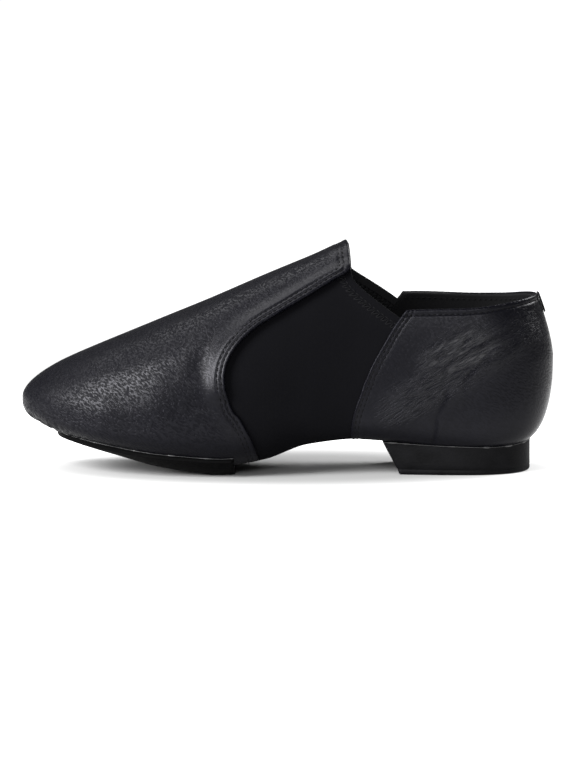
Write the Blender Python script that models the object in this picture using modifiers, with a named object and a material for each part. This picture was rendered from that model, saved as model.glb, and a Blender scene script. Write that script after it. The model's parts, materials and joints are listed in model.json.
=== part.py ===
"""A left slip-on dance shoe: stretch upper, leather vamp and counter, and a split sole of pad and heel.

The toe points to -X, the outer side of the foot faces -Y, and the shoe stands on the plane z = 0.
Sizes are in millimetres and become metres where a mesh is made.
"""

import bmesh
import bpy
import numpy as np
from mathutils import Vector

MM = 0.001
OBJECT_NAME = "dance_shoe"

# Driving sizes of the shoe
LENGTH = 250.0
WALL = 1.5
LEATHER = 1.0
GAP = 0.3
SOLE_GAP = 0.4
PAD_THICKNESS = 2.5
INSOLE_THICKNESS = 2.2
WELD = 0.02

# Sections of the last, one row for each station, measured forward from the back of the heel.
# swing moves the middle of the section to the inner side, crown and tuck are the powers of the
# curves over and under the widest line, and flat is the flat share of the half width underneath.
LAST_COLUMNS = (
    "station", "half_width", "swing", "sole_z", "widest_z", "ridge_z", "crown", "tuck", "flat",
)
LAST_SECTIONS = np.array((
    (0.0, 28.2, 0.0, 11.6, 54.0, 125.0, 1.40, 2.8, 0.30),
    (40.0, 28.4, -0.2, 11.5, 46.0, 121.5, 1.80, 5.2, 0.31),
    (90.0, 27.8, -1.2, 15.0, 44.0, 111.0, 2.20, 4.5, 0.28),
    (115.0, 30.2, -2.4, 12.2, 40.0, 100.4, 2.30, 3.2, 0.24),
    (135.0, 34.0, -2.8, 5.4, 35.0, 91.9, 2.20, 2.8, 0.30),
    (155.0, 37.6, -1.9, 2.1, 30.0, 83.4, 2.10, 2.5, 0.28),
    (180.0, 38.8, 0.6, 4.8, 26.0, 72.7, 2.05, 2.4, 0.26),
    (205.0, 35.4, 3.4, 11.2, 23.5, 62.1, 2.05, 2.5, 0.28),
    (230.0, 29.0, 5.4, 18.0, 28.0, 51.4, 2.15, 3.2, 0.30),
    (250.0, 25.0, 6.2, 26.0, 33.3, 42.9, 2.30, 4.4, 0.30),
))

# How far each end of the outline is rounded, and the power of that curve
TOE_ROUND = 45.0
HEEL_ROUND = 38.0
END_POWER = 2.2

# Stations round which the sections fan out at the toe and the heel, and the length of that change
TOE_PIVOT = 226.0
HEEL_PIVOT = 34.0
PIVOT_BLEND = 11.0

# Level runs up a section: -1 middle of the sole, 0 end of its flat, then the widest line, 1 ridge
LEVEL_WIDEST = 0.30
LEVEL_MARGIN = 0.10
MARGIN_LEVEL = np.array((
    # station, level of the edge of the openings underneath, which lies further in at both ends
    (0.0, 0.065), (14.0, 0.08), (40.0, LEVEL_MARGIN), (205.0, LEVEL_MARGIN), (222.0, 0.03), (236.0, -0.20),
    (250.0, -0.30),
))
LEVEL_CORNER = 0.695
SIDE_LEVELS = np.array((
    LEVEL_MARGIN, 0.15, 0.20, 0.25, LEVEL_WIDEST, 0.36, 0.43, 0.49, 0.54, 0.58, 0.61, 0.637, 0.665,
    LEVEL_CORNER,
))
CROWN_LEVELS = np.array((0.74, 0.82, 0.91, 1.0))
SOLE_LEVELS = np.array((LEVEL_MARGIN, 0.07, 0.04, 0.0, -0.5, -1.0))
SIDE_SHARES = (SIDE_LEVELS - LEVEL_MARGIN) / (LEVEL_CORNER - LEVEL_MARGIN)

# Rear edge of the vamp up one side, and then round the end of the tongue to the ridge
VAMP_EDGE = np.array((
    # level, station
    (0.00, 136.8), (0.12, 138.3), (0.205, 140.75), (0.257, 143.9), (0.289, 146.8), (0.298, 148.3),
    (0.304, 149.7), (0.35, 151.9), (0.397, 153.3), (0.435, 153.6), (0.481, 152.65), (0.522, 150.3),
    (0.559, 146.15), (0.589, 140.4), (0.604, 135.1), (0.629, 121.3), (0.661, 107.8),
    (LEVEL_CORNER, 95.5), (0.78, 96.0), (0.86, 96.6), (1.0, 97.5),
))

# Front edge of the counter, by the share of the height from the sole margin to the collar
COUNTER_EDGE = np.array((
    # share, station
    (0.0, 94.6), (0.20, 95.0), (0.36, 94.1), (0.45, 92.3), (0.49, 90.0), (0.505, 88.2), (0.60, 85.2),
    (0.75, 79.7), (0.87, 75.4), (1.0, 69.6),
))

# Top line of the counter: the collar is a little lower on the outer side
COLLAR_LEVEL = np.array((
    # station, outer side, inner side
    (0.0, 0.555, 0.555), (20.0, 0.533, 0.538), (45.0, 0.512, 0.533), (75.0, 0.503, 0.535),
))
GUSSET_REAR_LEVEL = {-1: 0.465, 1: 0.496}

# Top line of a gusset: how far it hangs under the straight line between its ends, most near the tongue
GUSSET_TOP_SAG = {-1: 0.115, 1: 0.064}
GUSSET_SAG_POWER = 0.35
COLLAR_DIP_SHARE = 0.20

# Grid columns on one side of the shoe
VAMP_COLUMNS = 18
GUSSET_COLUMNS = 6
COUNTER_COLUMNS = 12
ARCH_UNDER_VAMP = 3
ARCH_UNDER_COUNTER = 2

# Rows of a sheet under the last lie closer together towards its rim, by this power
RIM_CROWDING = 1.5

# Forefoot pad: its straight rear end, and how far it stays inside the outline
PAD_REAR = 149.5
PAD_INSET = np.array((
    # station, inset
    (140.0, 6.0), (205.0, 6.6), (230.0, 7.5), (250.0, 16.0),
))
PAD_COLUMNS = 18
PAD_ROWS = 7

# Heel block: raked front, vertical back and a small edge round the bottom
HEEL_FRONT_TOP = 80.0
HEEL_FRONT_BOTTOM = 72.8
HEEL_INSET = np.array((
    # station, inset
    (0.0, 10.4), (20.0, 6.8), (45.0, 4.3), (90.0, 8.0),
))
HEEL_EDGE = 1.2
HEEL_COLUMNS = 18
HEEL_ROWS = 6

# Insole: it lies on the pad and the heel, and over the closed arch of the upper between them
INSOLE_SHARE = np.array((
    # station, share of the half width
    (0.0, 0.50), (20.0, 0.56), (45.0, 0.62), (115.0, 0.56), (160.0, 0.62), (205.0, 0.55), (220.0, 0.34),
    (235.0, 0.18), (250.0, 0.12),
))
INSOLE_LIFT = np.array((
    # station, height over the underside of the last
    (0.0, 0.0), (46.0, 0.0), (62.0, 4.1), (171.0, 4.1), (186.0, 0.0), (250.0, 0.0),
))
INSOLE_COLUMNS = 22
INSOLE_ROWS = 4

# Tape over the top of the back seam: the station of its side edges, and its height as a drop in level
TAB_STATION = 0.4
TAB_LEVEL_DROP = 0.06
TAB_THICKNESS = 0.7
TAB_COLUMNS = 2
TAB_ROWS = 4

# Finish of each material: colour, roughness
LEATHER_FINISH = ((0.030, 0.030, 0.033, 1.0), 0.42)
STRETCH_FINISH = ((0.007, 0.007, 0.009, 1.0), 0.85)
RUBBER_FINISH = ((0.012, 0.012, 0.013, 1.0), 0.70)
INSOLE_FINISH = ((0.016, 0.016, 0.018, 1.0), 0.90)


def smooth(values, knots, heights):
    """Reads a smooth curve through a table's points that never swings past them."""
    steps = np.diff(knots)
    slopes = np.diff(heights) / steps
    tangents = np.concatenate((slopes[:1], np.zeros(len(slopes) - 1), slopes[-1:]))
    before = 2.0 * steps[1:] + steps[:-1]
    after = steps[1:] + 2.0 * steps[:-1]
    turning = slopes[:-1] * slopes[1:] > 0.0
    low = np.where(turning, slopes[:-1], 1.0)
    high = np.where(turning, slopes[1:], 1.0)
    tangents[1:-1] = np.where(turning, (before + after) / (before / low + after / high), 0.0)
    inside = np.clip(values, knots[0], knots[-1])
    left = np.clip(np.searchsorted(knots, inside) - 1, 0, len(steps) - 1)
    part = (inside - knots[left]) / steps[left]
    rest = 1.0 - part
    start = (1.0 + 2.0 * part) * rest**2 * heights[left]
    end = (3.0 - 2.0 * part) * part**2 * heights[left + 1]
    lean = part * rest * steps[left] * (rest * tangents[left] - part * tangents[left + 1])
    return start + end + lean


def section(name, station):
    """One column of the last's table at any station."""
    return smooth(station, LAST_SECTIONS[:, 0], LAST_SECTIONS[:, LAST_COLUMNS.index(name)])


def end_round(distance, reach):
    """Share of the width that is left at a distance from one end of the outline."""
    return (1.0 - np.clip(1.0 - distance / reach, 0.0, 1.0)**END_POWER)**(1.0 / END_POWER)


def half_width(station):
    """Half width of the outline, rounded to a point at the toe and at the heel."""
    ends = end_round(LENGTH - station, TOE_ROUND) * end_round(station, HEEL_ROUND)
    return section("half_width", station) * ends


def station_at(along):
    """Station of a place along the outline, 0 at the toe's tip and 1 at the back of the heel."""
    return LENGTH * (1.0 + np.cos(np.pi * along)) / 2.0


def along_at(station):
    """Place along the outline of a station."""
    return np.arccos(np.clip(2.0 * station / LENGTH - 1.0, -1.0, 1.0)) / np.pi


def beyond(distance):
    """A soft ramp: nothing before a pivot, the whole distance well past it."""
    return PIVOT_BLEND * np.logaddexp(0.0, distance / PIVOT_BLEND)


def spine_station(station):
    """Station of the middle line that a section starts from: it stops short of both ends."""
    return station - beyond(station - TOE_PIVOT) + beyond(HEEL_PIVOT - station)


def reach_at(along, side):
    """Distance in plan from the middle line to the outline."""
    station = station_at(along)
    spine = spine_station(station)
    across = section("swing", station) + side * half_width(station) - section("swing", spine)
    return np.hypot(station - spine, across)


def last_point(along, level, side):
    """Point of the last's surface; side is -1 on the outer side and 1 on the inner side."""
    along, level, side = np.broadcast_arrays(along, level, side)
    station = station_at(along)
    crown = section("crown", station)
    tuck = section("tuck", station)
    flat = section("flat", station)
    over = np.clip((level - LEVEL_WIDEST) / (1.0 - LEVEL_WIDEST), 0.0, 1.0) * np.pi / 2.0
    under = np.clip((LEVEL_WIDEST - level) / LEVEL_WIDEST, 0.0, 1.0) * np.pi / 2.0
    out_over = np.abs(np.cos(over))**(2.0 / crown)
    out_under = flat + (1.0 - flat) * np.abs(np.cos(under))**(2.0 / tuck)
    out_flat = flat * (1.0 + np.minimum(level, 0.0))
    out = np.where(level >= LEVEL_WIDEST, out_over, np.where(level >= 0.0, out_under, out_flat))

    spine = spine_station(station)
    spine_y = section("swing", spine)
    edge_y = section("swing", station) + side * half_width(station)
    place = spine + out * (station - spine)
    y = spine_y + out * (edge_y - spine_y)

    widest = section("widest_z", station)
    drop = (section("ridge_z", station) - widest) * (1.0 - np.sin(over)**(2.0 / crown))
    rise = (widest - section("sole_z", station)) * (1.0 - np.sin(under)**(2.0 / tuck))
    z_over = section("ridge_z", place) - drop
    z_under = section("sole_z", place) + np.where(level >= 0.0, rise, 0.0)
    z = np.where(level >= LEVEL_WIDEST, z_over, z_under)
    return np.stack((LENGTH / 2.0 - place, y, z), axis=-1)


def under_point(along, share, side):
    """Point of the last's underside, by its share of the way from the middle line to the outline."""
    along, share, side = np.broadcast_arrays(along, share, side)
    station = station_at(along)
    tuck = section("tuck", station)
    flat = section("flat", station)
    curve = np.clip((share - flat) / (1.0 - flat), 0.0, 1.0)
    under = np.arccos(curve**(tuck / 2.0))
    level_curved = LEVEL_WIDEST * (1.0 - under * 2.0 / np.pi)
    level = np.where(share >= flat, level_curved, share / flat - 1.0)
    return last_point(along, level, side)


def collar_level(along, side):
    """Level of the counter's top line."""
    heights = COLLAR_LEVEL[:, 1] if side < 0 else COLLAR_LEVEL[:, 2]
    return smooth(station_at(along), COLLAR_LEVEL[:, 0], heights)


def margin_level(along):
    """Level of the edge of the openings underneath."""
    return smooth(station_at(along), MARGIN_LEVEL[:, 0], MARGIN_LEVEL[:, 1])


def both_sides(columns):
    """Column shares out to one edge and back to the other, with the side of each."""
    shares = np.linspace(-1.0, 1.0, 2 * columns + 1)
    return np.abs(shares), np.where(shares < 0.0, -1, 1)


def vamp_sheet():
    """Grid of the vamp, from its outer rear edge round the toe to its inner one."""
    levels = np.concatenate((SIDE_LEVELS, CROWN_LEVELS))[:, None]
    shares, sides = both_sides(VAMP_COLUMNS)
    along = along_at(smooth(levels, VAMP_EDGE[:, 0], VAMP_EDGE[:, 1])) * shares
    above = np.maximum(LEVEL_CORNER - levels, 0.0) / (LEVEL_CORNER - LEVEL_MARGIN)
    return last_point(along, levels - above * (LEVEL_MARGIN - margin_level(along)), sides)


def counter_front(side):
    """Places along the outline and levels down the front edge of the counter."""
    along = along_at(smooth(SIDE_SHARES, COUNTER_EDGE[:, 0], COUNTER_EDGE[:, 1]))
    level = LEVEL_MARGIN + SIDE_SHARES * (GUSSET_REAR_LEVEL[side] - LEVEL_MARGIN)
    return along, level


def gusset_sheet(side):
    """Grid of one stretch side, between the vamp's edge and the counter's edge."""
    vamp_along = along_at(smooth(SIDE_LEVELS, VAMP_EDGE[:, 0], VAMP_EDGE[:, 1]))
    counter_along, counter_level = counter_front(side)
    part = np.linspace(0.0, 1.0, GUSSET_COLUMNS + 1)
    along = vamp_along[:, None] * (1.0 - part) + counter_along[:, None] * part
    level = SIDE_LEVELS[:, None] * (1.0 - part) + counter_level[:, None] * part
    sag = GUSSET_TOP_SAG[side] * SIDE_SHARES[:, None] * part**GUSSET_SAG_POWER * (1.0 - part)
    return last_point(along, level - sag, side)


def counter_half(side, dip):
    """Places and levels of the counter on one side, front to back; dip lowers its front corner."""
    front, _ = counter_front(side)
    part = np.linspace(0.0, 1.0, COUNTER_COLUMNS + 1)
    along = front[:, None] * (1.0 - part) + part
    low = collar_level(front[-1], side) - GUSSET_REAR_LEVEL[side]
    top = collar_level(along[-1], side) - dip * low * np.clip(1.0 - part / COLLAR_DIP_SHARE, 0.0, 1.0)
    margin = margin_level(along)
    return along, margin + SIDE_SHARES[:, None] * (top - margin)


def counter_sheet(dip):
    """Grid of the counter, from its outer front edge round the heel to its inner one."""
    outer_along, outer_level = counter_half(-1, dip)
    inner_along, inner_level = counter_half(1, dip)
    along = np.concatenate((outer_along, inner_along[:, -2::-1]), axis=1)
    level = np.concatenate((outer_level, inner_level[:, -2::-1]), axis=1)
    side = np.where(np.arange(along.shape[1]) <= COUNTER_COLUMNS, -1, 1)
    return last_point(along, level, side)


def arch_sheet():
    """Grid that closes the upper under the arch, on the columns of the side walls."""
    vamp_end = along_at(smooth(LEVEL_MARGIN, VAMP_EDGE[:, 0], VAMP_EDGE[:, 1]))
    counter_end = along_at(COUNTER_EDGE[0, 1])
    vamp = vamp_end * np.linspace(0.0, 1.0, VAMP_COLUMNS + 1)[-1 - ARCH_UNDER_VAMP:-1]
    gusset = np.linspace(vamp_end, counter_end, GUSSET_COLUMNS + 1)
    counter = np.linspace(counter_end, 1.0, COUNTER_COLUMNS + 1)[1:1 + ARCH_UNDER_COUNTER]
    along = np.concatenate((vamp, gusset, counter))[:, None]
    levels = np.concatenate((SOLE_LEVELS, SOLE_LEVELS[-2::-1]))
    sides = np.where(np.arange(len(levels)) < len(SOLE_LEVELS), -1, 1)
    return last_point(along, levels, sides)


def sole_sheet(stations, outer_share, rows, height):
    """Grid under the last out to a share of its outline, moved in height; stations run rear to front."""
    along = along_at(np.concatenate((stations, stations[-2::-1])))
    sides = np.where(np.arange(len(along)) < len(stations), -1, 1)
    spread = 1.0 - np.linspace(1.0, 0.0, rows + 1)[:, None]**RIM_CROWDING
    shares = spread * outer_share(along, sides)
    points = under_point(along, shares, sides)
    points[..., 2] += height(LENGTH / 2.0 - points[..., 0])
    return points


def inset_share(table):
    """Share of the half width that stays inside the outline by the table's inset."""

    def share(along, side):
        inset = smooth(station_at(along), table[:, 0], table[:, 1])
        return 1.0 - inset / reach_at(along, side)

    return share


def add_sheet(bm, points):
    """Adds a grid of faces through an array of points in rows and columns."""
    rows, columns = points.shape[:2]
    grid = bmesh.ops.create_grid(bm, x_segments=columns - 1, y_segments=rows - 1, size=1.0)
    for vertex, point in zip(grid["verts"], points.reshape(-1, 3)):
        vertex.co = point * MM


def new_material(name, finish):
    """A plain material with a colour and a roughness."""
    material = bpy.data.materials.new(name)
    material.use_nodes = True
    shader = material.node_tree.nodes["Principled BSDF"]
    shader.inputs["Base Color"].default_value = finish[0]
    shader.inputs["Roughness"].default_value = finish[1]
    shader.inputs["Metallic"].default_value = 0.0
    return material


def new_object(name, bm, collection, material=None):
    """Makes an object from a finished mesh and puts it in a collection."""
    mesh = bpy.data.meshes.new(name)
    bm.to_mesh(mesh)
    bm.free()
    mesh.shade_smooth()
    if material:
        mesh.materials.append(material)
    obj = bpy.data.objects.new(name, mesh)
    collection.objects.link(obj)
    return obj


def sheet_object(name, sheets, collection, material, face_up=False):
    """Joins sheets at their shared edges into one open surface that faces outward, or up."""
    bm = bmesh.new()
    for points in sheets:
        add_sheet(bm, points)
    bmesh.ops.remove_doubles(bm, verts=bm.verts, dist=WELD * MM)
    bmesh.ops.recalc_face_normals(bm, faces=bm.faces)
    if face_up and sum(face.normal.z for face in bm.faces) < 0.0:
        bmesh.ops.reverse_faces(bm, faces=bm.faces)
    return new_object(name, bm, collection, material)


def thicken(obj, near, thickness):
    """Gives a surface a wall from near to near + thickness, counted inward from the surface."""
    solid = obj.modifiers.new("wall", "SOLIDIFY")
    solid.thickness = thickness * MM
    solid.offset = -2.0 * near / thickness - 1.0
    solid.use_even_offset = True
    solid.use_quality_normals = True


def build_upper(collection, material):
    """The hollow upper: open at the collar, and underneath at the pad and the heel."""
    sheets = (vamp_sheet(), gusset_sheet(-1), gusset_sheet(1), counter_sheet(1.0), arch_sheet())
    upper = sheet_object("upper", sheets, collection, material)
    thicken(upper, LEATHER + GAP, WALL)


def build_vamp(collection, material):
    """Leather over the forefoot and the instep, up to the end of the tongue."""
    vamp = sheet_object("vamp", (vamp_sheet(),), collection, material)
    thicken(vamp, 0.0, LEATHER)


def build_heel_counter(collection, material):
    """Leather round the heel, up to the collar."""
    counter = sheet_object("heel_counter", (counter_sheet(0.0),), collection, material)
    thicken(counter, 0.0, LEATHER)


def build_back_tab(collection, material):
    """Short tape over the top of the back seam."""
    shares, sides = both_sides(TAB_COLUMNS)
    along = 1.0 - shares * (1.0 - along_at(TAB_STATION))
    top = collar_level(1.0, -1)
    levels = np.linspace(top - TAB_LEVEL_DROP, top, TAB_ROWS + 1)[:, None]
    tab = sheet_object("back_tab", (last_point(along, levels, sides),), collection, material)
    thicken(tab, -GAP - TAB_THICKNESS, TAB_THICKNESS)


def build_insole(collection, material):
    """Insole inside the upper."""

    def share(along, side):
        return smooth(station_at(along), INSOLE_SHARE[:, 0], INSOLE_SHARE[:, 1])

    def lift(station):
        return smooth(station, INSOLE_LIFT[:, 0], INSOLE_LIFT[:, 1])

    stations = station_at(np.linspace(1.0, 0.0, INSOLE_COLUMNS + 1))
    sheet = sole_sheet(stations, share, INSOLE_ROWS, lift)
    insole = sheet_object("insole", (sheet,), collection, material, face_up=True)
    thicken(insole, -INSOLE_THICKNESS, INSOLE_THICKNESS)


def build_forefoot_sole(collection, cutters, material):
    """Pad under the ball and the toes, flat where it meets the floor."""
    stations = station_at(np.linspace(along_at(PAD_REAR), 0.0, PAD_COLUMNS + 1))
    sheet = sole_sheet(stations, inset_share(PAD_INSET), PAD_ROWS, lambda station: -SOLE_GAP)
    pad = sheet_object("forefoot_sole", (sheet,), collection, material, face_up=True)
    thicken(pad, 0.0, PAD_THICKNESS)
    bm = bmesh.new()
    bmesh.ops.create_cube(bm, size=2.0 * LENGTH * MM)
    bmesh.ops.translate(bm, vec=(0.0, 0.0, -LENGTH * MM), verts=bm.verts)
    floor = new_object("floor_cutter", bm, cutters)
    floor.display_type = "WIRE"
    floor.hide_render = True
    cut = pad.modifiers.new("floor", "BOOLEAN")
    cut.object = floor
    cut.operation = "DIFFERENCE"


def extrude_rim(bm, edges, place):
    """Draws faces from an open rim to the place of each of its points, and returns the new rim."""
    made = bmesh.ops.extrude_edge_only(bm, edges=edges)["geom"]
    for item in made:
        if isinstance(item, bmesh.types.BMVert):
            item.co = place(item.co / MM) * MM
    return [item for item in made if isinstance(item, bmesh.types.BMEdge)]


def build_heel(collection, material):
    """Heel block: its top follows the last, its front is raked and its bottom is flat."""
    inset = HEEL_INSET[0, 1]
    back = LENGTH / 2.0 - inset
    rake = (HEEL_FRONT_BOTTOM - inset) / (HEEL_FRONT_TOP - inset)
    half_length = (HEEL_FRONT_BOTTOM - inset) / 2.0
    shrink = 1.0 - HEEL_EDGE / half_length

    def raked(point):
        return Vector((back + (point.x - back) * rake, point.y, HEEL_EDGE))

    def inside(point):
        middle = back - half_length
        return Vector((middle + (point.x - middle) * shrink, point.y * shrink, 0.0))

    stations = station_at(np.linspace(along_at(HEEL_FRONT_TOP), 1.0, HEEL_COLUMNS + 1))
    bm = bmesh.new()
    add_sheet(bm, sole_sheet(stations, inset_share(HEEL_INSET), HEEL_ROWS, lambda station: -SOLE_GAP))
    bmesh.ops.remove_doubles(bm, verts=bm.verts, dist=WELD * MM)
    rim = extrude_rim(bm, [edge for edge in bm.edges if edge.is_boundary], raked)
    rim = extrude_rim(bm, rim, inside)
    bmesh.ops.contextual_create(bm, geom=rim)
    bmesh.ops.recalc_face_normals(bm, faces=bm.faces)
    new_object("heel", bm, collection, material)


def new_collection(name):
    """A collection in the scene."""
    collection = bpy.data.collections.new(name)
    bpy.context.scene.collection.children.link(collection)
    return collection


def main():
    """Clears the scene and builds the shoe."""
    for obj in list(bpy.data.objects):
        bpy.data.objects.remove(obj)
    shoe = new_collection(OBJECT_NAME)
    cutters = new_collection("cutters")
    leather = new_material("black_leather", LEATHER_FINISH)
    stretch = new_material("stretch_fabric", STRETCH_FINISH)
    rubber = new_material("black_rubber", RUBBER_FINISH)
    lining = new_material("insole_fabric", INSOLE_FINISH)
    build_upper(shoe, stretch)
    build_vamp(shoe, leather)
    build_heel_counter(shoe, leather)
    build_back_tab(shoe, leather)
    build_insole(shoe, lining)
    build_forefoot_sole(shoe, cutters, rubber)
    build_heel(shoe, rubber)


main()
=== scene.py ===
"""Looks of a left slip-on dance shoe: grained leather over a stretch upper, on a split sole.

The toe points to -X and the outer side of the foot faces -Y, towards the camera. Sizes are in
millimetres, measured as a shoemaker does, and become metres where a mesh is made.
"""

from __future__ import annotations

import json
import logging
import math
from dataclasses import dataclass, field
from enum import Enum
from typing import Any, Callable, ClassVar, Self, Sequence

import bpy
import numpy as np
import numpy.typing as npt
from mathutils import Matrix, Vector

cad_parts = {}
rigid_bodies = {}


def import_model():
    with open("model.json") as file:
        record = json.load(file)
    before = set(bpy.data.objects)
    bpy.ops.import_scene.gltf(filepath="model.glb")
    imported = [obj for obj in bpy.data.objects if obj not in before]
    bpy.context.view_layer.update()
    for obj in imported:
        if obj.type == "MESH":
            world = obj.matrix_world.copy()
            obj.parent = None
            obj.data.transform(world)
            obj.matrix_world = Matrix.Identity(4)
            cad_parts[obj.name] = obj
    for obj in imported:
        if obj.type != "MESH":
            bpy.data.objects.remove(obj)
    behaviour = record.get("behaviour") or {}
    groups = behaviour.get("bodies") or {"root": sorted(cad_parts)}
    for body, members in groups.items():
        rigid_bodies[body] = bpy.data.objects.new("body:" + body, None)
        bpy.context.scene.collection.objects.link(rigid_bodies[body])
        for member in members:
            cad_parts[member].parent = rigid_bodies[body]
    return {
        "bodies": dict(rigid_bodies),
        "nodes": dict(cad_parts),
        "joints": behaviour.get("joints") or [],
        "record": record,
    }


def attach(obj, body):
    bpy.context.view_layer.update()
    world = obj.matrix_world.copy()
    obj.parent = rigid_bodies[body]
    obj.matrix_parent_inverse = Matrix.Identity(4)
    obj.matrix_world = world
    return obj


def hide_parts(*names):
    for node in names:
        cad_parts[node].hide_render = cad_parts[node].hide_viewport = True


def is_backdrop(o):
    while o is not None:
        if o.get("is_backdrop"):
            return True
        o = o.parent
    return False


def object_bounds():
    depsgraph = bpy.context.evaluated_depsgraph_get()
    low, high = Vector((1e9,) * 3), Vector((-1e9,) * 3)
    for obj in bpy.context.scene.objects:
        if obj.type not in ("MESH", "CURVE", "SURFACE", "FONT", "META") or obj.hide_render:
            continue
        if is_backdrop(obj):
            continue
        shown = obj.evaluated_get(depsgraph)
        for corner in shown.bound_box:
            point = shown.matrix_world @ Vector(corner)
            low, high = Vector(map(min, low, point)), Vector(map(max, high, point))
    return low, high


FloatArray = npt.NDArray[np.float64]
IntArray = npt.NDArray[np.int64]
Pair = tuple[float, float]
Triple = tuple[float, float, float]
Colour = Triple
StitchRow = tuple[FloatArray, FloatArray, FloatArray]

MM = 0.001
BODY = "root"
NEAREST_BLOCK = 4000
RIPPLE_WAVES = 6
RIPPLE_STRETCH = (0.7, 1.4)
RIPPLE_SCALE = 3.5
log = logging.getLogger("dance_shoe")


class Side(Enum):
    """The two sides of the foot, with the sign of Y on each."""

    OUTER = -1
    INNER = 1


class Slot(Enum):
    """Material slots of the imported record."""

    STRETCH = "stretch_fabric"
    LEATHER = "black_leather"
    RUBBER = "black_rubber"
    INSOLE = "insole_fabric"


class Kind(Enum):
    """Which part of a wall a face belongs to."""

    OUTSIDE = 0
    INSIDE = 1
    RIM = 2


def smooth(values: FloatArray, knots: FloatArray, heights: FloatArray) -> FloatArray:
    """Reads a cubic through a table's points whose slopes never let it swing past them.

    Args:
        values: places to read, clipped to the table's range.
        knots: the table's rising places.
        heights: the table's values there.

    Returns:
        The curve's height at each value.
    """
    steps = np.diff(knots)
    slopes = np.diff(heights) / steps
    tangents = np.concatenate((slopes[:1], np.zeros(len(slopes) - 1), slopes[-1:]))
    before = 2.0 * steps[1:] + steps[:-1]
    after = steps[1:] + 2.0 * steps[:-1]
    turning = slopes[:-1] * slopes[1:] > 0.0
    low = np.where(turning, slopes[:-1], 1.0)
    high = np.where(turning, slopes[1:], 1.0)
    tangents[1:-1] = np.where(turning, (before + after) / (before / low + after / high), 0.0)
    inside = np.clip(values, knots[0], knots[-1])
    left = np.clip(np.searchsorted(knots, inside) - 1, 0, len(steps) - 1)
    part = (inside - knots[left]) / steps[left]
    rest = 1.0 - part
    start = (1.0 + 2.0 * part) * rest**2 * heights[left]
    end = (3.0 - 2.0 * part) * part**2 * heights[left + 1]
    lean = part * rest * steps[left] * (rest * tangents[left] - part * tangents[left + 1])
    return start + end + lean


def ease(values: FloatArray, low: float, high: float) -> FloatArray:
    """A soft step from 0 at low to 1 at high (3t^2 - 2t^3)."""
    part = np.clip((values - low) / (high - low), 0.0, 1.0)
    return part * part * (3.0 - 2.0 * part)


def hump(values: FloatArray, middle: FloatArray | float, width: float) -> FloatArray:
    """A bell of height 1 (exp of minus the square of the distance over the width)."""
    return np.exp(-(((values - middle) / width) ** 2))


def edge_drop(gap: FloatArray, radius: float) -> FloatArray:
    """Drop of a rounded edge, by the distance from it: a quarter circle of the radius."""
    inside = np.clip(radius - gap, 0.0, radius)
    return radius - np.sqrt(radius**2 - inside**2)


def spread(values: Sequence[float], fine: int) -> FloatArray:
    """Cuts each step of a list of values into fine equal parts."""
    places = np.linspace(0.0, len(values) - 1.0, (len(values) - 1) * fine + 1)
    return np.interp(places, np.arange(len(values)), np.asarray(values, float))


def nearest(points: FloatArray, line: FloatArray) -> FloatArray:
    """Distance from each point to the nearest of a line's points, in blocks that fit in memory."""
    blocks = np.array_split(points, max(1, len(points) // NEAREST_BLOCK))
    squares = (line**2).sum(1)
    found = [((block**2).sum(1)[:, None] + squares - 2.0 * block @ line.T).min(1) for block in blocks]
    return np.sqrt(np.maximum(np.concatenate(found), 0.0))


def unit(vectors: FloatArray) -> FloatArray:
    """Vectors of length 1 in the same directions."""
    return vectors / np.maximum(np.linalg.norm(vectors, axis=-1, keepdims=True), 1e-12)


def ripple(points: FloatArray, wavelength: float, seed: int) -> FloatArray:
    """Soft uneven noise from about -1 to 1: sines along scattered directions, added.

    Args:
        points: where to read it.
        wavelength: rough distance between its humps.
        seed: picks the directions and phases.

    Returns:
        The noise at each point.
    """
    random = np.random.default_rng(seed)
    ways = unit(random.normal(size=(RIPPLE_WAVES, 3))) * random.uniform(*RIPPLE_STRETCH, (RIPPLE_WAVES, 1))
    phases = random.uniform(0.0, 2.0 * np.pi, RIPPLE_WAVES)
    return np.sin(points @ ways.T * (2.0 * np.pi / wavelength) + phases).sum(1) / RIPPLE_SCALE


@dataclass(frozen=True)
class Table:
    """A short table with named columns, read as smooth curves over its first column."""

    columns: tuple[str, ...]
    rows: tuple[tuple[float, ...], ...]

    def read(self, name: str, at: FloatArray | float) -> FloatArray:
        """Reads one column.

        Args:
            name: the column's name.
            at: places in the first column.

        Returns:
            The column's smooth value at each place.
        """
        data = np.array(self.rows)
        return smooth(np.asarray(at, float), data[:, 0], data[:, self.columns.index(name)])


LAST_SECTIONS = Table(
    ("station", "half_width", "swing", "sole_z", "widest_z", "ridge_z", "crown", "tuck", "flat"),
    (
        (0.0, 28.2, 0.0, 11.6, 54.0, 125.0, 1.40, 2.8, 0.30),
        (40.0, 28.4, -0.2, 11.5, 46.0, 121.5, 1.80, 5.2, 0.31),
        (90.0, 27.8, -1.2, 15.0, 44.0, 111.0, 2.20, 4.5, 0.28),
        (115.0, 30.2, -2.4, 12.2, 40.0, 100.4, 2.30, 3.2, 0.24),
        (135.0, 34.0, -2.8, 5.4, 35.0, 91.9, 2.20, 2.8, 0.30),
        (155.0, 37.6, -1.9, 2.1, 30.0, 83.4, 2.10, 2.5, 0.28),
        (180.0, 38.8, 0.6, 4.8, 26.0, 72.7, 2.05, 2.4, 0.26),
        (205.0, 35.4, 3.4, 11.2, 23.5, 62.1, 2.05, 2.5, 0.28),
        (230.0, 29.0, 5.4, 18.0, 28.0, 51.4, 2.15, 3.2, 0.30),
        (250.0, 25.0, 6.2, 26.0, 33.3, 42.9, 2.30, 4.4, 0.30),
    ),
)


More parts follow.
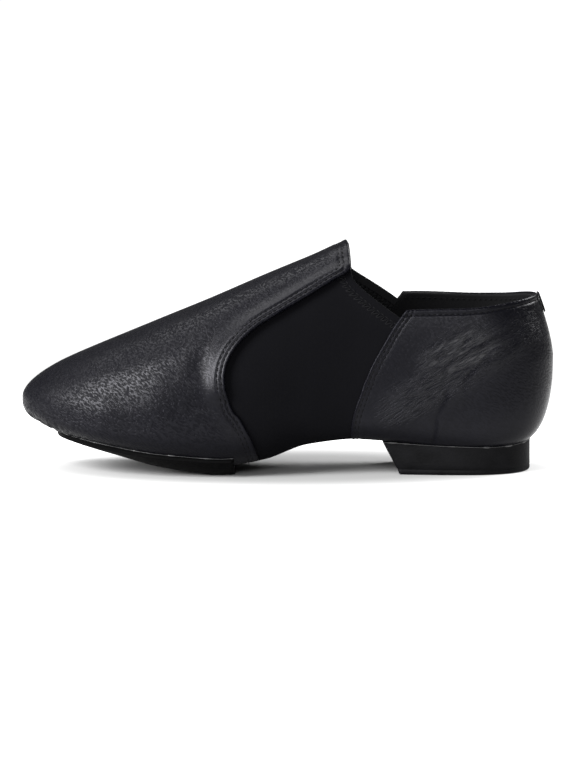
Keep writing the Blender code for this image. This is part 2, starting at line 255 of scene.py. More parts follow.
@dataclass(frozen=True)
class Net:
    """Places on the last, as arrays of along, level and side, such as a grid in rows and columns."""

    along: FloatArray
    level: FloatArray
    side: FloatArray

    @classmethod
    def on(cls, side: Side, along: FloatArray, level: FloatArray) -> Self:
        """Places that all lie on one side of the foot."""
        return cls(along, level, np.full(along.shape, float(side.value)))


class Line(Net):
    """A line drawn on the last."""

    def keep(self, wanted: npt.NDArray[np.bool_]) -> Line:
        """The wanted points of the line."""
        return Line(self.along[wanted], self.level[wanted], self.side[wanted])


@dataclass(frozen=True)
class Last:
    """The form that the shoe is pulled over, as a surface of two parameters on each side.

    along runs round the outline from the toe's tip (0) to the back of the heel (1). level runs up
    a section: -1 middle of the sole, 0 end of its flat, widest at the widest line, 1 the ridge.
    """

    length: float = 250.0
    sections: Table = LAST_SECTIONS
    toe_round: float = 45.0
    heel_round: float = 38.0
    end_power: float = 2.2
    toe_pivot: float = 226.0
    heel_pivot: float = 34.0
    pivot_blend: float = 11.0
    widest: float = 0.30
    small: float = 1e-4
    walk: int = 16

    def station(self, along: FloatArray) -> FloatArray:
        """Distance from the back of the heel: half the length times 1 + cos(pi * along)."""
        return self.length * (1.0 + np.cos(np.pi * along)) / 2.0

    def along(self, station: FloatArray | float) -> FloatArray:
        """Place along the outline of a station, the inverse of station."""
        return np.arccos(np.clip(2.0 * np.asarray(station) / self.length - 1.0, -1.0, 1.0)) / np.pi

    def end_round(self, distance: FloatArray, reach: float) -> FloatArray:
        """Share of the width left near an end: a superellipse quarter of the given reach."""
        inside = np.clip(1.0 - distance / reach, 0.0, 1.0) ** self.end_power
        return (1.0 - inside) ** (1.0 / self.end_power)

    def half_width(self, station: FloatArray) -> FloatArray:
        """Half width of the outline: the table's value, rounded off at both ends."""
        toe = self.end_round(self.length - station, self.toe_round)
        heel = self.end_round(station, self.heel_round)
        return self.sections.read("half_width", station) * toe * heel

    def beyond(self, distance: FloatArray) -> FloatArray:
        """A soft ramp, blend * log(1 + exp(distance / blend))."""
        return self.pivot_blend * np.logaddexp(0.0, distance / self.pivot_blend)

    def spine(self, station: FloatArray) -> FloatArray:
        """Station of the middle line that a section starts from, which stops short of both ends."""
        return station - self.beyond(station - self.toe_pivot) + self.beyond(self.heel_pivot - station)

    def reach(self, along: FloatArray, side: FloatArray) -> FloatArray:
        """Distance in plan from the middle line to the outline."""
        station = self.station(along)
        spine = self.spine(station)
        swing = self.sections.read("swing", station) - self.sections.read("swing", spine)
        return np.hypot(station - spine, swing + side * self.half_width(station))

    def point(self, along: FloatArray, level: FloatArray, side: FloatArray) -> FloatArray:
        """Points of the surface.

        Over the widest line a section is a superellipse quarter up to the ridge, and under it one
        down to the flat of the sole. A share out of the way from the middle line to the outline
        gives the place in plan.

        Args:
            along: places along the outline.
            level: levels up the section.
            side: -1 on the outer side and 1 on the inner side.

        Returns:
            An array of points in millimetres, with x, y and z last.
        """
        along, level, side = np.broadcast_arrays(along, level, side)
        read = self.sections.read
        station = self.station(along)
        crown, tuck, flat = (read(name, station) for name in ("crown", "tuck", "flat"))
        over = np.clip((level - self.widest) / (1.0 - self.widest), 0.0, 1.0) * np.pi / 2.0
        under = np.clip((self.widest - level) / self.widest, 0.0, 1.0) * np.pi / 2.0
        out_over = np.abs(np.cos(over)) ** (2.0 / crown)
        out_under = flat + (1.0 - flat) * np.abs(np.cos(under)) ** (2.0 / tuck)
        out_flat = flat * (1.0 + np.minimum(level, 0.0))
        low = np.where(level >= 0.0, out_under, out_flat)
        out = np.where(level >= self.widest, out_over, low)
        spine = self.spine(station)
        spine_y = read("swing", spine)
        edge_y = read("swing", station) + side * self.half_width(station)
        place = spine + out * (station - spine)
        widest_z = read("widest_z", station)
        drop = (read("ridge_z", station) - widest_z) * (1.0 - np.sin(over) ** (2.0 / crown))
        rise = (widest_z - read("sole_z", station)) * (1.0 - np.sin(under) ** (2.0 / tuck))
        z_under = read("sole_z", place) + np.where(level >= 0.0, rise, 0.0)
        z = np.where(level >= self.widest, read("ridge_z", place) - drop, z_under)
        y = spine_y + out * (edge_y - spine_y)
        return np.stack((self.length / 2.0 - place, y, z), axis=-1)

    def level_under(self, along: FloatArray, share: FloatArray) -> FloatArray:
        """Level on the underside of a share of the way from the middle line to the outline.

        Args:
            along: places along the outline.
            share: shares from 0 to 1.

        Returns:
            The levels.
        """
        station = self.station(along)
        tuck = self.sections.read("tuck", station)
        flat = self.sections.read("flat", station)
        curve = np.clip((share - flat) / (1.0 - flat), 0.0, 1.0)
        angle = np.arccos(curve ** (tuck / 2.0))
        return np.where(share >= flat, self.widest * (1.0 - angle * 2.0 / np.pi), share / flat - 1.0)

    def points(self, net: Net) -> FloatArray:
        """Points of a line or net."""
        return self.point(net.along, net.level, net.side)

    def tangents(self, net: Net) -> tuple[FloatArray, FloatArray]:
        """Changes of the point with along and with level."""
        along, level, side = net.along, net.level, net.side
        step = self.small
        forward = self.point(along + step, level, side) - self.point(along - step, level, side)
        upward = self.point(along, level + step, side) - self.point(along, level - step, side)
        return forward / (2.0 * step), upward / (2.0 * step)

    def place(self, net: Net) -> tuple[FloatArray, FloatArray]:
        """Points of a line or net, and the outward unit normals there."""
        forward, upward = self.tangents(net)
        normals = unit(np.cross(upward, forward) * net.side[..., None])
        return self.points(net), normals

    def beside(self, line: Line, distance: FloatArray | float) -> Line:
        """A line that keeps a distance from another on the surface.

        The way at right angles to the line is walked in short steps. Each is solved in along and level,
        by least squares on the surface's two tangents.

        Args:
            line: the line to start from.
            distance: how far to go to the left of the line's run, seen from outside.

        Returns:
            The new line.
        """
        points, normals = self.place(line)
        run = unit(np.gradient(points, axis=0))
        left = np.cross(normals, run) * (np.asarray(distance) / self.walk)[..., None]
        found = line
        for _ in range(self.walk):
            forward, upward = self.tangents(found)
            aa = (forward * forward).sum(-1)
            al = (forward * upward).sum(-1)
            ll = (upward * upward).sum(-1)
            ra = (left * forward).sum(-1)
            rl = (left * upward).sum(-1)
            whole = aa * ll - al * al
            along = found.along + (ra * ll - rl * al) / whole
            found = Line(along, found.level + (rl * aa - ra * al) / whole, line.side)
        return found

    def run(self, line: Line) -> FloatArray:
        """Length of a line up to each of its points."""
        steps = np.linalg.norm(np.diff(self.points(line), axis=0), axis=1)
        return np.concatenate(([0.0], np.cumsum(steps)))

    def paced(self, line: Line, pitch: float) -> Line:
        """The same line with evenly spaced points, about a pitch apart."""
        return self.counted(line, max(1, round(float(self.run(line)[-1]) / pitch)))

    def counted(self, line: Line, count: int) -> Line:
        """The same line cut into a number of even steps."""
        run = self.run(line)
        at = np.linspace(0.0, run[-1], count + 1)
        return Line(*(np.interp(at, run, part) for part in (line.along, line.level, line.side)))


VAMP_EDGE = Table(
    ("level", "station"),
    (
        (0.00, 136.8), (0.12, 138.3), (0.205, 140.75), (0.257, 143.9), (0.289, 146.8), (0.298, 148.3),
        (0.2995, 148.85), (0.30, 149.3), (0.304, 149.6), (0.35, 151.9), (0.397, 153.3), (0.435, 153.6),
        (0.481, 152.65), (0.522, 150.3), (0.559, 146.15), (0.589, 140.4), (0.604, 135.1), (0.629, 121.3),
        (0.661, 107.8), (0.695, 95.5), (0.78, 96.0), (0.86, 96.6), (1.0, 97.5),
    ),
)
COUNTER_EDGE = Table(
    ("share", "station"),
    (
        (0.0, 94.6), (0.20, 95.0), (0.36, 94.1), (0.45, 92.3), (0.49, 90.0), (0.495, 89.25),
        (0.4963, 88.5), (0.505, 88.2), (0.60, 85.2), (0.75, 79.7), (0.87, 75.4), (1.0, 69.6),
    ),
)
COLLAR_LEVEL = Table(
    ("station", "outer", "inner"),
    ((0.0, 0.555, 0.555), (20.0, 0.533, 0.538), (45.0, 0.512, 0.533), (75.0, 0.503, 0.535)),
)
MARGIN_LEVEL = Table(
    ("station", "level"),
    ((0.0, 0.065), (14.0, 0.08), (40.0, 0.10), (205.0, 0.10), (222.0, 0.03), (236.0, -0.20), (250.0, -0.30)),
)
SIDE_LEVELS = (0.10, 0.15, 0.20, 0.25, 0.30, 0.36, 0.43, 0.49, 0.54, 0.58, 0.61, 0.637, 0.665, 0.695)
CROWN_LEVELS = (0.695, 0.74, 0.82, 0.91, 1.0)
SOLE_LEVELS = (0.10, 0.07, 0.04, 0.0, -0.5, -1.0)


@dataclass(frozen=True)
class Pattern:
    """The cut of the panels: where their edges run on the last."""

    last: Last = Last()
    margin: float = 0.10
    corner: float = 0.695
    gusset_rear: Pair = (0.465, 0.496)
    gusset_sag: Pair = (0.115, 0.064)
    sag_power: float = 0.35
    dip_share: float = 0.20

    def side_levels(self, fine: int) -> FloatArray:
        """Levels of the rows up the side, each step cut into fine parts."""
        return spread(SIDE_LEVELS, fine)

    def shares(self, fine: int) -> FloatArray:
        """Shares of the height of the same rows."""
        return (self.side_levels(fine) - self.margin) / (self.corner - self.margin)

    def vamp_along(self, level: FloatArray | float) -> FloatArray:
        """Place along the outline of the vamp's rear edge."""
        return self.last.along(VAMP_EDGE.read("station", level))

    def counter_along(self, share: FloatArray | float) -> FloatArray:
        """Place along the outline of the counter's front edge."""
        return self.last.along(COUNTER_EDGE.read("station", share))

    def collar(self, along: FloatArray, side: Side) -> FloatArray:
        """Level of the counter's top line."""
        return COLLAR_LEVEL.read(side.name.lower(), self.last.station(along))

    def margin_at(self, along: FloatArray) -> FloatArray:
        """Level of the edge of the openings underneath."""
        return MARGIN_LEVEL.read("level", self.last.station(along))

    def rear(self, side: Side) -> float:
        """Level of the rear end of a gusset's top line."""
        return self.gusset_rear[0] if side is Side.OUTER else self.gusset_rear[1]

    def sag(self, side: Side, part: FloatArray) -> FloatArray:
        """Drop in level of a gusset's top line, at a part of the way from the tongue to the counter."""
        most = self.gusset_sag[0] if side is Side.OUTER else self.gusset_sag[1]
        return most * part**self.sag_power * (1.0 - part)

    def vamp(self, columns: FloatArray, fine: int) -> Net:
        """Net of the vamp, from its outer edge round the toe to its inner one.

        Args:
            columns: rising shares from 0 at the toe to 1 at the edge.
            fine: parts of each row step.

        Returns:
            The net, whose rows run from the sole's margin to the ridge.
        """
        levels = np.concatenate((self.side_levels(fine), spread(CROWN_LEVELS, fine)[1:]))[:, None]
        shares = np.concatenate((-columns[:0:-1], columns))
        along = self.vamp_along(levels) * np.abs(shares)
        above = np.maximum(self.corner - levels, 0.0) / (self.corner - self.margin)
        level = levels - above * (self.margin - self.margin_at(along))
        return Net(along, level, np.broadcast_to(np.where(shares < 0.0, -1.0, 1.0), along.shape))

    def gusset(self, side: Side, columns: int, fine: int) -> Net:
        """Net of one stretch side, ruled between the vamp's edge and the counter's edge.

        Args:
            side: which side of the foot.
            columns: steps from the vamp to the counter.
            fine: parts of each row step.

        Returns:
            The net.
        """
        shares = self.shares(fine)[:, None]
        levels = self.side_levels(fine)[:, None]
        part = np.linspace(0.0, 1.0, columns + 1)
        along = self.vamp_along(levels) * (1.0 - part) + self.counter_along(shares) * part
        rear = self.margin + shares * (self.rear(side) - self.margin)
        level = levels * (1.0 - part) + rear * part - shares * self.sag(side, part)
        return Net.on(side, along, level)

    def dipped(self, side: Side, part: FloatArray) -> FloatArray:
        """Drop of the stretch body's top line under the counter's, at a part of the way to the back seam."""
        front = self.counter_along(1.0)
        fade = np.clip(1.0 - part / self.dip_share, 0.0, 1.0)
        return (self.collar(front, side) - self.rear(side)) * fade

    def counter_half(self, side: Side, part: FloatArray, fine: int, dip: float) -> Net:
        """Net of the counter on one side, from its front edge to the back seam.

        Args:
            side: which side of the foot.
            part: rising parts of the way from 0 at the front edge to 1 at the seam.
            fine: parts of each row step.
            dip: share of the drop of the front corner to the gusset's top line.

        Returns:
            The net.
        """
        shares = self.shares(fine)[:, None]
        along = self.counter_along(shares) * (1.0 - part) + part
        top = self.collar(along[-1:], side) - dip * self.dipped(side, part)
        margin = self.margin_at(along)
        return Net.on(side, along, margin + shares * (top - margin))

    def counter(self, part: FloatArray, fine: int, dip: float) -> Net:
        """Net of the counter round the heel, from its outer front edge to its inner one."""
        outer = self.counter_half(Side.OUTER, part, fine, dip)
        inner = self.counter_half(Side.INNER, part, fine, dip)
        parts = ((getattr(outer, key), getattr(inner, key)[:, -2::-1]) for key in ("along", "level", "side"))
        return Net(*(np.concatenate(pair, axis=1) for pair in parts))

    def arch(self, vamp: FloatArray, gusset: FloatArray, counter: FloatArray, fine: int) -> Net:
        """Net that closes the upper under the arch.

        Args:
            vamp: places along the outline under the vamp.
            gusset: places under the gusset.
            counter: places under the counter.
            fine: parts of each row step.

        Returns:
            The net, from the outer margin over the middle line to the inner one.
        """
        along = np.concatenate((vamp, gusset, counter))[:, None]
        half = spread(SOLE_LEVELS, fine)
        level = np.concatenate((half, half[-2::-1]))
        side = np.where(np.arange(len(level)) < len(half), -1.0, 1.0)
        return Net(*np.broadcast_arrays(along, level, side))

    def sole(self, stations: FloatArray, inset: Table, rows: int, crowding: float = 1.5) -> Net:
        """Net under the last, from the middle line to a distance inside the outline.

        Args:
            stations: stations from the rear to the tip, or from the front to the back.
            inset: distance that it stays inside the outline, by station.
            rows: steps from the middle line to the rim.
            crowding: power that brings the rows closer together towards the rim.

        Returns:
            The net, out along the outer side and back along the inner one.
        """
        along = self.last.along(np.concatenate((stations, stations[-2::-1])))
        side = np.where(np.arange(len(along)) < len(stations), -1.0, 1.0)
        rim = 1.0 - inset.read("inset", self.last.station(along)) / self.last.reach(along, side)
        share = (1.0 - np.linspace(1.0, 0.0, rows + 1)[:, None] ** crowding) * rim
        along, side = np.broadcast_to(along, share.shape), np.broadcast_to(side, share.shape)
        return Net(along, self.last.level_under(along, share), side)

    def vamp_line(self, side: Side, count: int = 900) -> Line:
        """Rear edge of the vamp on one side, from the sole round the tongue's corner to the ridge."""
        level = np.linspace(self.margin, 1.0, count)
        return Line.on(side, self.vamp_along(level), level)

    def counter_line(self, side: Side, count: int = 400) -> Line:
        """Front edge of the counter on one side, from the sole to the collar."""
        share = np.linspace(0.0, 1.0, count)
        along = self.counter_along(share)
        margin = self.margin_at(along)
        return Line.on(side, along, margin + share * (self.collar(along[-1:], side) - margin))

    def collar_line(self, side: Side, count: int = 400) -> Line:
        """Top line of the counter on one side, from its front corner to the back seam."""
        along = np.linspace(float(self.counter_along(1.0)), 1.0 - 2.0 * self.last.small, count)
        return Line.on(side, along, self.collar(along, side))

    def gusset_line(self, side: Side, count: int = 300) -> Line:
        """Top line of a gusset, from the tongue's corner to the counter."""
        part = np.linspace(0.0, 1.0, count)
        start = float(self.vamp_along(self.corner))
        end = float(self.counter_along(1.0))
        level = self.corner * (1.0 - part) + self.rear(side) * part - self.sag(side, part)
        return Line.on(side, start * (1.0 - part) + end * part, level)

    def dots(self, lines: Sequence[Line]) -> FloatArray:
        """Points of several lines in one list."""
        return np.concatenate([self.last.points(line) for line in lines])

    def both(self, line: Callable[[Side], Line]) -> FloatArray:
        """Points of a line on both sides of the foot."""
        return self.dots([line(side) for side in Side])


@dataclass(frozen=True)
class Spots:
    """Points of the last with their places on it, one of each for every point."""

    points: FloatArray
    along: FloatArray
    level: FloatArray
    side: FloatArray

    @property
    def station(self) -> FloatArray:
        """Distances from the back of the heel."""
        return Last.length / 2.0 - self.points[:, 0]


@dataclass(frozen=True)
class Wall:
    """A closed wall: points, faces, the kind of each face, and the surface point behind each point.

    The kinds are the values of Kind.
    """

    points: FloatArray
    faces: IntArray
    kinds: IntArray
    source: IntArray


def grid_faces(rows: int, columns: int) -> IntArray:
    """Four-cornered faces of a grid whose points are numbered row by row."""
    index = np.arange(rows * columns).reshape(rows, columns)
    corners = (index[:-1, :-1], index[:-1, 1:], index[1:, 1:], index[1:, :-1])
    return np.stack([corner.reshape(-1) for corner in corners], axis=1)


def outward(points: FloatArray, faces: IntArray, middle: float = 40.0) -> IntArray:
    """Turns faces round that look at the line through the middle of the shoe, all of them or none.

    Args:
        points: the points.
        faces: four-cornered faces of one grid.
        middle: height of the line.

    Returns:
        The faces, looking outward.
    """
    corners = points[faces]
    across = np.cross(corners[:, 2] - corners[:, 0], corners[:, 3] - corners[:, 1])
    away = corners.mean(1) - np.array((0.0, 0.0, middle))
    return faces if (across[:, 1:] * away[:, 1:]).sum() > 0.0 else faces[:, ::-1]


class Skin:
    """A surface made of nets that are joined where they meet, before it becomes a mesh."""

    rim_rings: ClassVar[int] = 4

    def __init__(self, last: Last, nets: Sequence[Net]) -> None:
        """Lays the nets on the last and joins their shared points.

        Args:
            last: the surface.
            nets: the nets, whose shared edges have the same points.
        """
        grids = [last.points(net) for net in nets]
        faces: list[IntArray] = []
        start = 0
        for grid in grids:
            faces.append(outward(grid.reshape(-1, 3), grid_faces(*grid.shape[:2])) + start)
            start += grid.shape[0] * grid.shape[1]
        every = np.concatenate([grid.reshape(-1, 3) for grid in grids])
        _, first, index = np.unique(np.round(every, 3), axis=0, return_index=True, return_inverse=True)
        self.points: FloatArray = every[first]
        self.faces: IntArray = index.reshape(-1)[np.concatenate(faces)]
        self.net: IntArray = np.repeat(np.arange(len(faces)), [len(part) for part in faces])
        along, level, side = (
            np.concatenate([getattr(net, key).reshape(-1) for net in nets])[first]
            for key in ("along", "level", "side")
        )
        self.spots = Spots(self.points, along, level, side)
        self.up = self.normals()

    def normals(self) -> FloatArray:
        """Unit normal of each point: its faces' cross products, added.

        Where that is turned against the normals round it, their sum takes its place.

        Returns:
            The normals.
        """
        corners = self.points[self.faces]
        across = np.cross(corners[:, 2] - corners[:, 0], corners[:, 3] - corners[:, 1])
        total = np.zeros_like(self.points)
        around = np.zeros_like(self.points)
        for corner in range(4):
            np.add.at(total, self.faces[:, corner], across)
        own = unit(total)
        for corner in range(4):
            np.add.at(around, self.faces[:, corner], own[self.faces].sum(1))
        turned = (own * around).sum(1) < 0.0
        return np.where(turned[:, None], unit(around), own)

    def raise_by(self, height: FloatArray | float) -> None:
        """Moves every point out along the last's normal."""
        self.points = self.points + self.up * np.asarray(height)[..., None]

    def rim(self) -> IntArray:
        """Edges that only one face has, running the way that face does."""
        runs = np.concatenate([self.faces[:, [corner, (corner + 1) % 4]] for corner in range(4)])
        pairs = np.sort(runs, axis=1)
        _, index, counts = np.unique(pairs, axis=0, return_inverse=True, return_counts=True)
        return runs[counts[index.reshape(-1)] == 1]

    def close(self, outer: FloatArray, inner: FloatArray, rings: Sequence[FloatArray]) -> Wall:
        """Joins two copies of the surface along their rims.

        Args:
            outer: points of the copy that looks outward.
            inner: points of the copy that looks inward.
            rings: points between the two for every point of the surface, of which the rim's are used.

        Returns:
            The wall.
        """
        count = len(self.points)
        edge = self.rim()
        used, place = np.unique(edge, return_inverse=True)
        place = place.reshape(edge.shape)
        tracks = [edge]
        tracks += [place + 2 * count + len(used) * number for number in range(len(rings))]
        tracks.append(edge + count)
        sides = [np.stack((a[:, 1], a[:, 0], b[:, 0], b[:, 1]), axis=1) for a, b in zip(tracks, tracks[1:])]
        faces = np.concatenate((self.faces, self.faces[:, ::-1] + count, *sides))
        counts = (len(self.faces), len(self.faces), len(edge) * len(sides))
        kinds = np.repeat([kind.value for kind in Kind], counts)
        source = np.concatenate((np.arange(count), np.arange(count), np.tile(used, len(rings))))
        points = np.concatenate((outer, inner, *(ring[used] for ring in rings)))
        return Wall(points, faces, kinds, source)

    def wall(self, near: FloatArray | float, thickness: FloatArray | float, bulge: float = 0.0) -> Wall:
        """Gives the surface a wall, counted inward from near, with a rounded rim.

        Args:
            near: depth of the wall's outer face under the surface, in all or at each point.
            thickness: the wall's thickness, in all or at each point.
            bulge: how far the rim stands out, as an arc over the wall's thickness.

        Returns:
            The wall.
        """
        outer = self.points - np.asarray(near)[..., None] * self.up
        inner = outer - np.asarray(thickness)[..., None] * self.up
        edge = self.rim()
        run = np.zeros_like(outer)
        for end in range(2):
            np.add.at(run, edge[:, end], outer[edge[:, 1]] - outer[edge[:, 0]])
        out = unit(np.cross(run, self.up)) * bulge
        parts = np.linspace(0.0, 1.0, self.rim_rings + 1)[1:-1]
        rings = [outer * (1.0 - t) + inner * t + np.sin(np.pi * t) * out for t in parts]
        return self.close(outer, inner, rings)


@dataclass(frozen=True)
class Crease:
    """A soft trough or ridge on the sides of the shoe: a bowed line that fades out at both ends.

    Places are a station and a height. A rise over 0 is a ridge and one under 0 a trough.
    """

    start: Pair
    end: Pair
    rise: float
    width: float
    bow: float = 0.0
    fade_start: ClassVar[float] = 0.03
    fade_power: ClassVar[float] = 0.6

    def height(self, spots: Spots) -> FloatArray:
        """Height that the crease adds: a bell over the distance to its line, times a fade.

        Args:
            spots: places on the shoe.

        Returns:
            The added height at each place.
        """
        run = np.subtract(self.end, self.start)
        length = float(np.hypot(*run))
        ahead = run / length
        from_start = np.stack((spots.station, spots.points[:, 2]), axis=-1) - np.asarray(self.start)
        part = from_start @ ahead / length
        inside = np.clip(part, 0.0, 1.0)
        off = from_start @ np.array((-ahead[1], ahead[0])) - self.bow * 4.0 * inside * (1.0 - inside)
        past = (part - inside) * length
        turn = np.clip(self.fade_start + part * (1.0 - 2.0 * self.fade_start), 0.0, 1.0)
        fade = np.sin(np.pi * turn) ** self.fade_power
        return self.rise * fade * np.exp(-(off**2 + past**2) / self.width**2)


def creased(creases: Sequence[Crease], spots: Spots) -> FloatArray:
    """Height that several creases add together."""
    return np.sum([crease.height(spots) for crease in creases], axis=0)


class Value:
    """A shader socket that takes part in Python sums."""

    def __init__(self, tree: Tree, socket: Any) -> None:
        """Wraps an output socket of a node tree."""
        self.tree = tree
        self.socket = socket

    def math(self, operation: str, other: Any, swap: bool = False) -> Value:
        """Adds a Math node.

        Args:
            operation: the node's operation.
            other: the other operand, a value or a number.
            swap: whether the other operand comes first.

        Returns:
            The result.
        """
        terms = (other, self) if swap else (self, other)
        return self.tree.node("ShaderNodeMath", {"operation": operation}, dict(enumerate(terms)), "Value")

    def __add__(self, other: Any) -> Value:
        """Sum."""
        return self.math("ADD", other)

    __radd__ = __add__

    def __sub__(self, other: Any) -> Value:
        """Difference."""
        return self.math("SUBTRACT", other)

    def __rsub__(self, other: Any) -> Value:
        """Difference from a number."""
        return self.math("SUBTRACT", other, swap=True)

    def __mul__(self, other: Any) -> Value:
        """Product."""
        return self.math("MULTIPLY", other)

    __rmul__ = __mul__

    def step(self, low: float, high: float) -> Value:
        """A soft step from 0 at low to 1 at high."""
        sockets = {"Value": self, "From Min": low, "From Max": high}
        return self.tree.node("ShaderNodeMapRange", {"interpolation_type": "SMOOTHSTEP"}, sockets, "Result")


class Tree:
    """The node tree of one material, around one Principled shader."""

    def __init__(self, name: str) -> None:
        """Makes a material with nodes."""
        self.material = bpy.data.materials.new(name)
        self.material.use_nodes = True
        self.nodes = self.material.node_tree.nodes
        self.links = self.material.node_tree.links
        self.shader = self.nodes["Principled BSDF"]

    def node(self, kind: str, settings: dict[str, Any], sockets: dict[Any, Any], output: str) -> Value:
        """Adds one node.

        Args:
            kind: the node's type.
            settings: properties that are set first.
            sockets: values or links of its inputs, by name, identifier or number.
            output: name or identifier of the wanted output.

        Returns:
            That output.
        """
        made = self.nodes.new(kind)
        for key, value in settings.items():
            setattr(made, key, value)
        for key, value in sockets.items():
            self.feed(self.find(made.inputs, key), value)
        return Value(self, self.find(made.outputs, output))

    @staticmethod
    def find(sockets: Any, key: Any) -> Any:
        """A node's socket by its number, its identifier or its name."""
        if isinstance(key, int):
            return sockets[key]
        exact = [socket for socket in sockets if socket.identifier == key]
        return exact[0] if exact else sockets[key]

    def feed(self, socket: Any, value: Any) -> None:
        """Links a value to a socket, or sets a number or colour on it."""
        if isinstance(value, Value):
            self.links.new(value.socket, socket)
        else:
            socket.default_value = value

    def set(self, **inputs: Any) -> None:
        """Feeds the shader's inputs, named with _ for a space."""
        for key, value in inputs.items():
            self.feed(self.shader.inputs[key.replace("_", " ")], value)

    def place(self) -> Value:
        """Object coordinates, in metres."""
        return self.node("ShaderNodeTexCoord", {}, {}, "Object")

    def attribute(self, name: str) -> Value:
        """A number kept on the mesh."""
        return self.node("ShaderNodeAttribute", {"attribute_name": name}, {}, "Fac")

    def lumps(self, vector: Value, scale: float, detail: float, output: str = "Fac") -> Value:
        """Noise over some coordinates, with lumps of about one over the scale.

        Args:
            vector: the coordinates.
            scale: how many lumps there are on one unit of them.
            detail: how many finer layers are added.
            output: Fac for a number from 0 to 1, or Color for three of them.

        Returns:
            The noise.
        """
        sockets = {"Vector": vector, "Scale": scale, "Detail": detail}
        return self.node("ShaderNodeTexNoise", {}, sockets, output)

    def noise(self, size: float, detail: float = 2.0) -> Value:
        """Cloudy noise from 0 to 1 with lumps of a size in millimetres."""
        return self.lumps(self.place(), 1.0 / (size * MM), detail)

    def bend(self, size: float, reach: float) -> Value:
        """Object coordinates pushed about by noise of a size, by up to a reach in millimetres."""
        noise = self.lumps(self.place(), 1.0 / (size * MM), 2.0, "Color")
        push = {0: noise, 1: (reach * MM,) * 3, 2: self.place()}
        return self.node("ShaderNodeVectorMath", {"operation": "MULTIPLY_ADD"}, push, "Vector")

    def drawn_out(self, angle: float, lengths: Triple, vector: Value | None = None) -> Value:
        """Coordinates turned about Y and counted in lengths, for patterns that run along one slant.

        Args:
            angle: the turn in degrees.
            lengths: length of one unit along each turned axis, in millimetres.
            vector: the coordinates, Object coordinates if it is left out.

        Returns:
            The new coordinates.
        """
        turn = {"Vector": vector or self.place(), "Angle": math.radians(angle)}
        turned = self.node("ShaderNodeVectorRotate", {"rotation_type": "Y_AXIS"}, turn, "Vector")
        scale = tuple(1.0 / (length * MM) for length in lengths)
        return self.node("ShaderNodeVectorMath", {"operation": "MULTIPLY"}, {0: turned, 1: scale}, "Vector")

    def bump(self, height: Value, depth: float, under: Value | None = None) -> Value:
        """A Bump node for a height from 0 to 1 and a depth in millimetres, over another one."""
        sockets: dict[Any, Any] = {"Height": height, "Distance": depth * MM}
        if under is not None:
            sockets["Normal"] = under
        return self.node("ShaderNodeBump", {}, sockets, "Normal")

    def blend(self, factor: Value, low: Sequence[float], high: Sequence[float]) -> Value:
        """A colour between two colours."""
        ends = {"Factor_Float": factor, "A_Color": (*low, 1.0), "B_Color": (*high, 1.0)}
        return self.node("ShaderNodeMix", {"data_type": "RGBA"}, ends, "Result_Color")


@dataclass(frozen=True)
class LeatherFinish:
    """Black pebbled leather with a half gloss.

    The mesh keeps three numbers: grain is the strength of the pebbles, wrinkle that of fine folds, and
    dull is 1 at a cut edge and in a sharp crease.
    """

    name: str = "black_pebbled_leather"
    dark: Colour = (0.001, 0.001, 0.0015)
    light: Colour = (0.0022, 0.0022, 0.0036)
    patch_size: float = 14.0
    patch_share: float = 0.6
    patch_rough: float = 0.1
    pebble_angle: float = -35.0
    pebble_lengths: Triple = (2.1, 1.1, 0.75)
    pebble_bend: Pair = (5.0, 0.6)
    pebble_step: Pair = (0.34, 0.6)
    pebble_depth: float = 0.24
    fine_size: float = 0.35
    fine_share: float = 0.06
    wrinkle_angle: float = 32.0
    wrinkle_lengths: Triple = (5.0, 3.0, 0.65)
    wrinkle_step: Pair = (0.36, 0.62)
    wrinkle_depth: float = 0.55
    rough_low: float = 0.24
    rough_high: float = 0.62
    coat: float = 0.11
    coat_rough: float = 0.38
    valley_coat: float = 0.1
    ridge_shine: float = 2.2
    fold_dulling: float = 0.6
    gloss: float = 0.06
    gloss_tint: Colour = (0.9, 0.89, 1.0)

    def build(self) -> bpy.types.Material:
        """Makes the material.

        Noise that is drawn out along one slant and bent by slower noise gives the pebbles, and along
        another slant the folds. The glossy coat is thin in the valleys of both and at cut edges, and
        thick on the folds' ridges.

        Returns:
            The material.
        """
        tree = Tree(self.name)
        bent = tree.drawn_out(self.pebble_angle, self.pebble_lengths, tree.bend(*self.pebble_bend))
        pebbles = tree.lumps(bent, 1.0, 1.0).step(*self.pebble_step)
        slant = tree.drawn_out(self.wrinkle_angle, self.wrinkle_lengths)
        folds = tree.lumps(slant, 1.0, 3.0).step(*self.wrinkle_step)
        fine = tree.noise(self.fine_size, 3.0)
        patch = tree.noise(self.patch_size, 3.0)
        tone = patch * self.patch_share + pebbles * (1.0 - self.patch_share)
        grain = tree.attribute("grain")
        wrinkle = tree.attribute("wrinkle")
        valley = (1.0 - pebbles) * grain
        rough = self.rough_low + valley * (self.rough_high - self.rough_low)
        worn = (1.0 - valley * (1.0 - self.valley_coat)) * (1.0 - tree.attribute("dull"))
        ridge = 1.0 + (folds * (self.ridge_shine + self.fold_dulling) - self.fold_dulling) * wrinkle
        low = tree.bump(folds * wrinkle, self.wrinkle_depth)
        tree.set(
            Base_Color=tree.blend(tone, self.dark, self.light),
            Roughness=rough + (patch - 0.5) * self.patch_rough,
            Coat_Weight=worn * ridge * self.coat,
            Coat_Roughness=self.coat_rough,
            Normal=tree.bump(pebbles * grain + fine * self.fine_share, self.pebble_depth, low),
            Specular_IOR_Level=self.gloss,
            Specular_Tint=(*self.gloss_tint, 1.0),
        )
        return tree.material


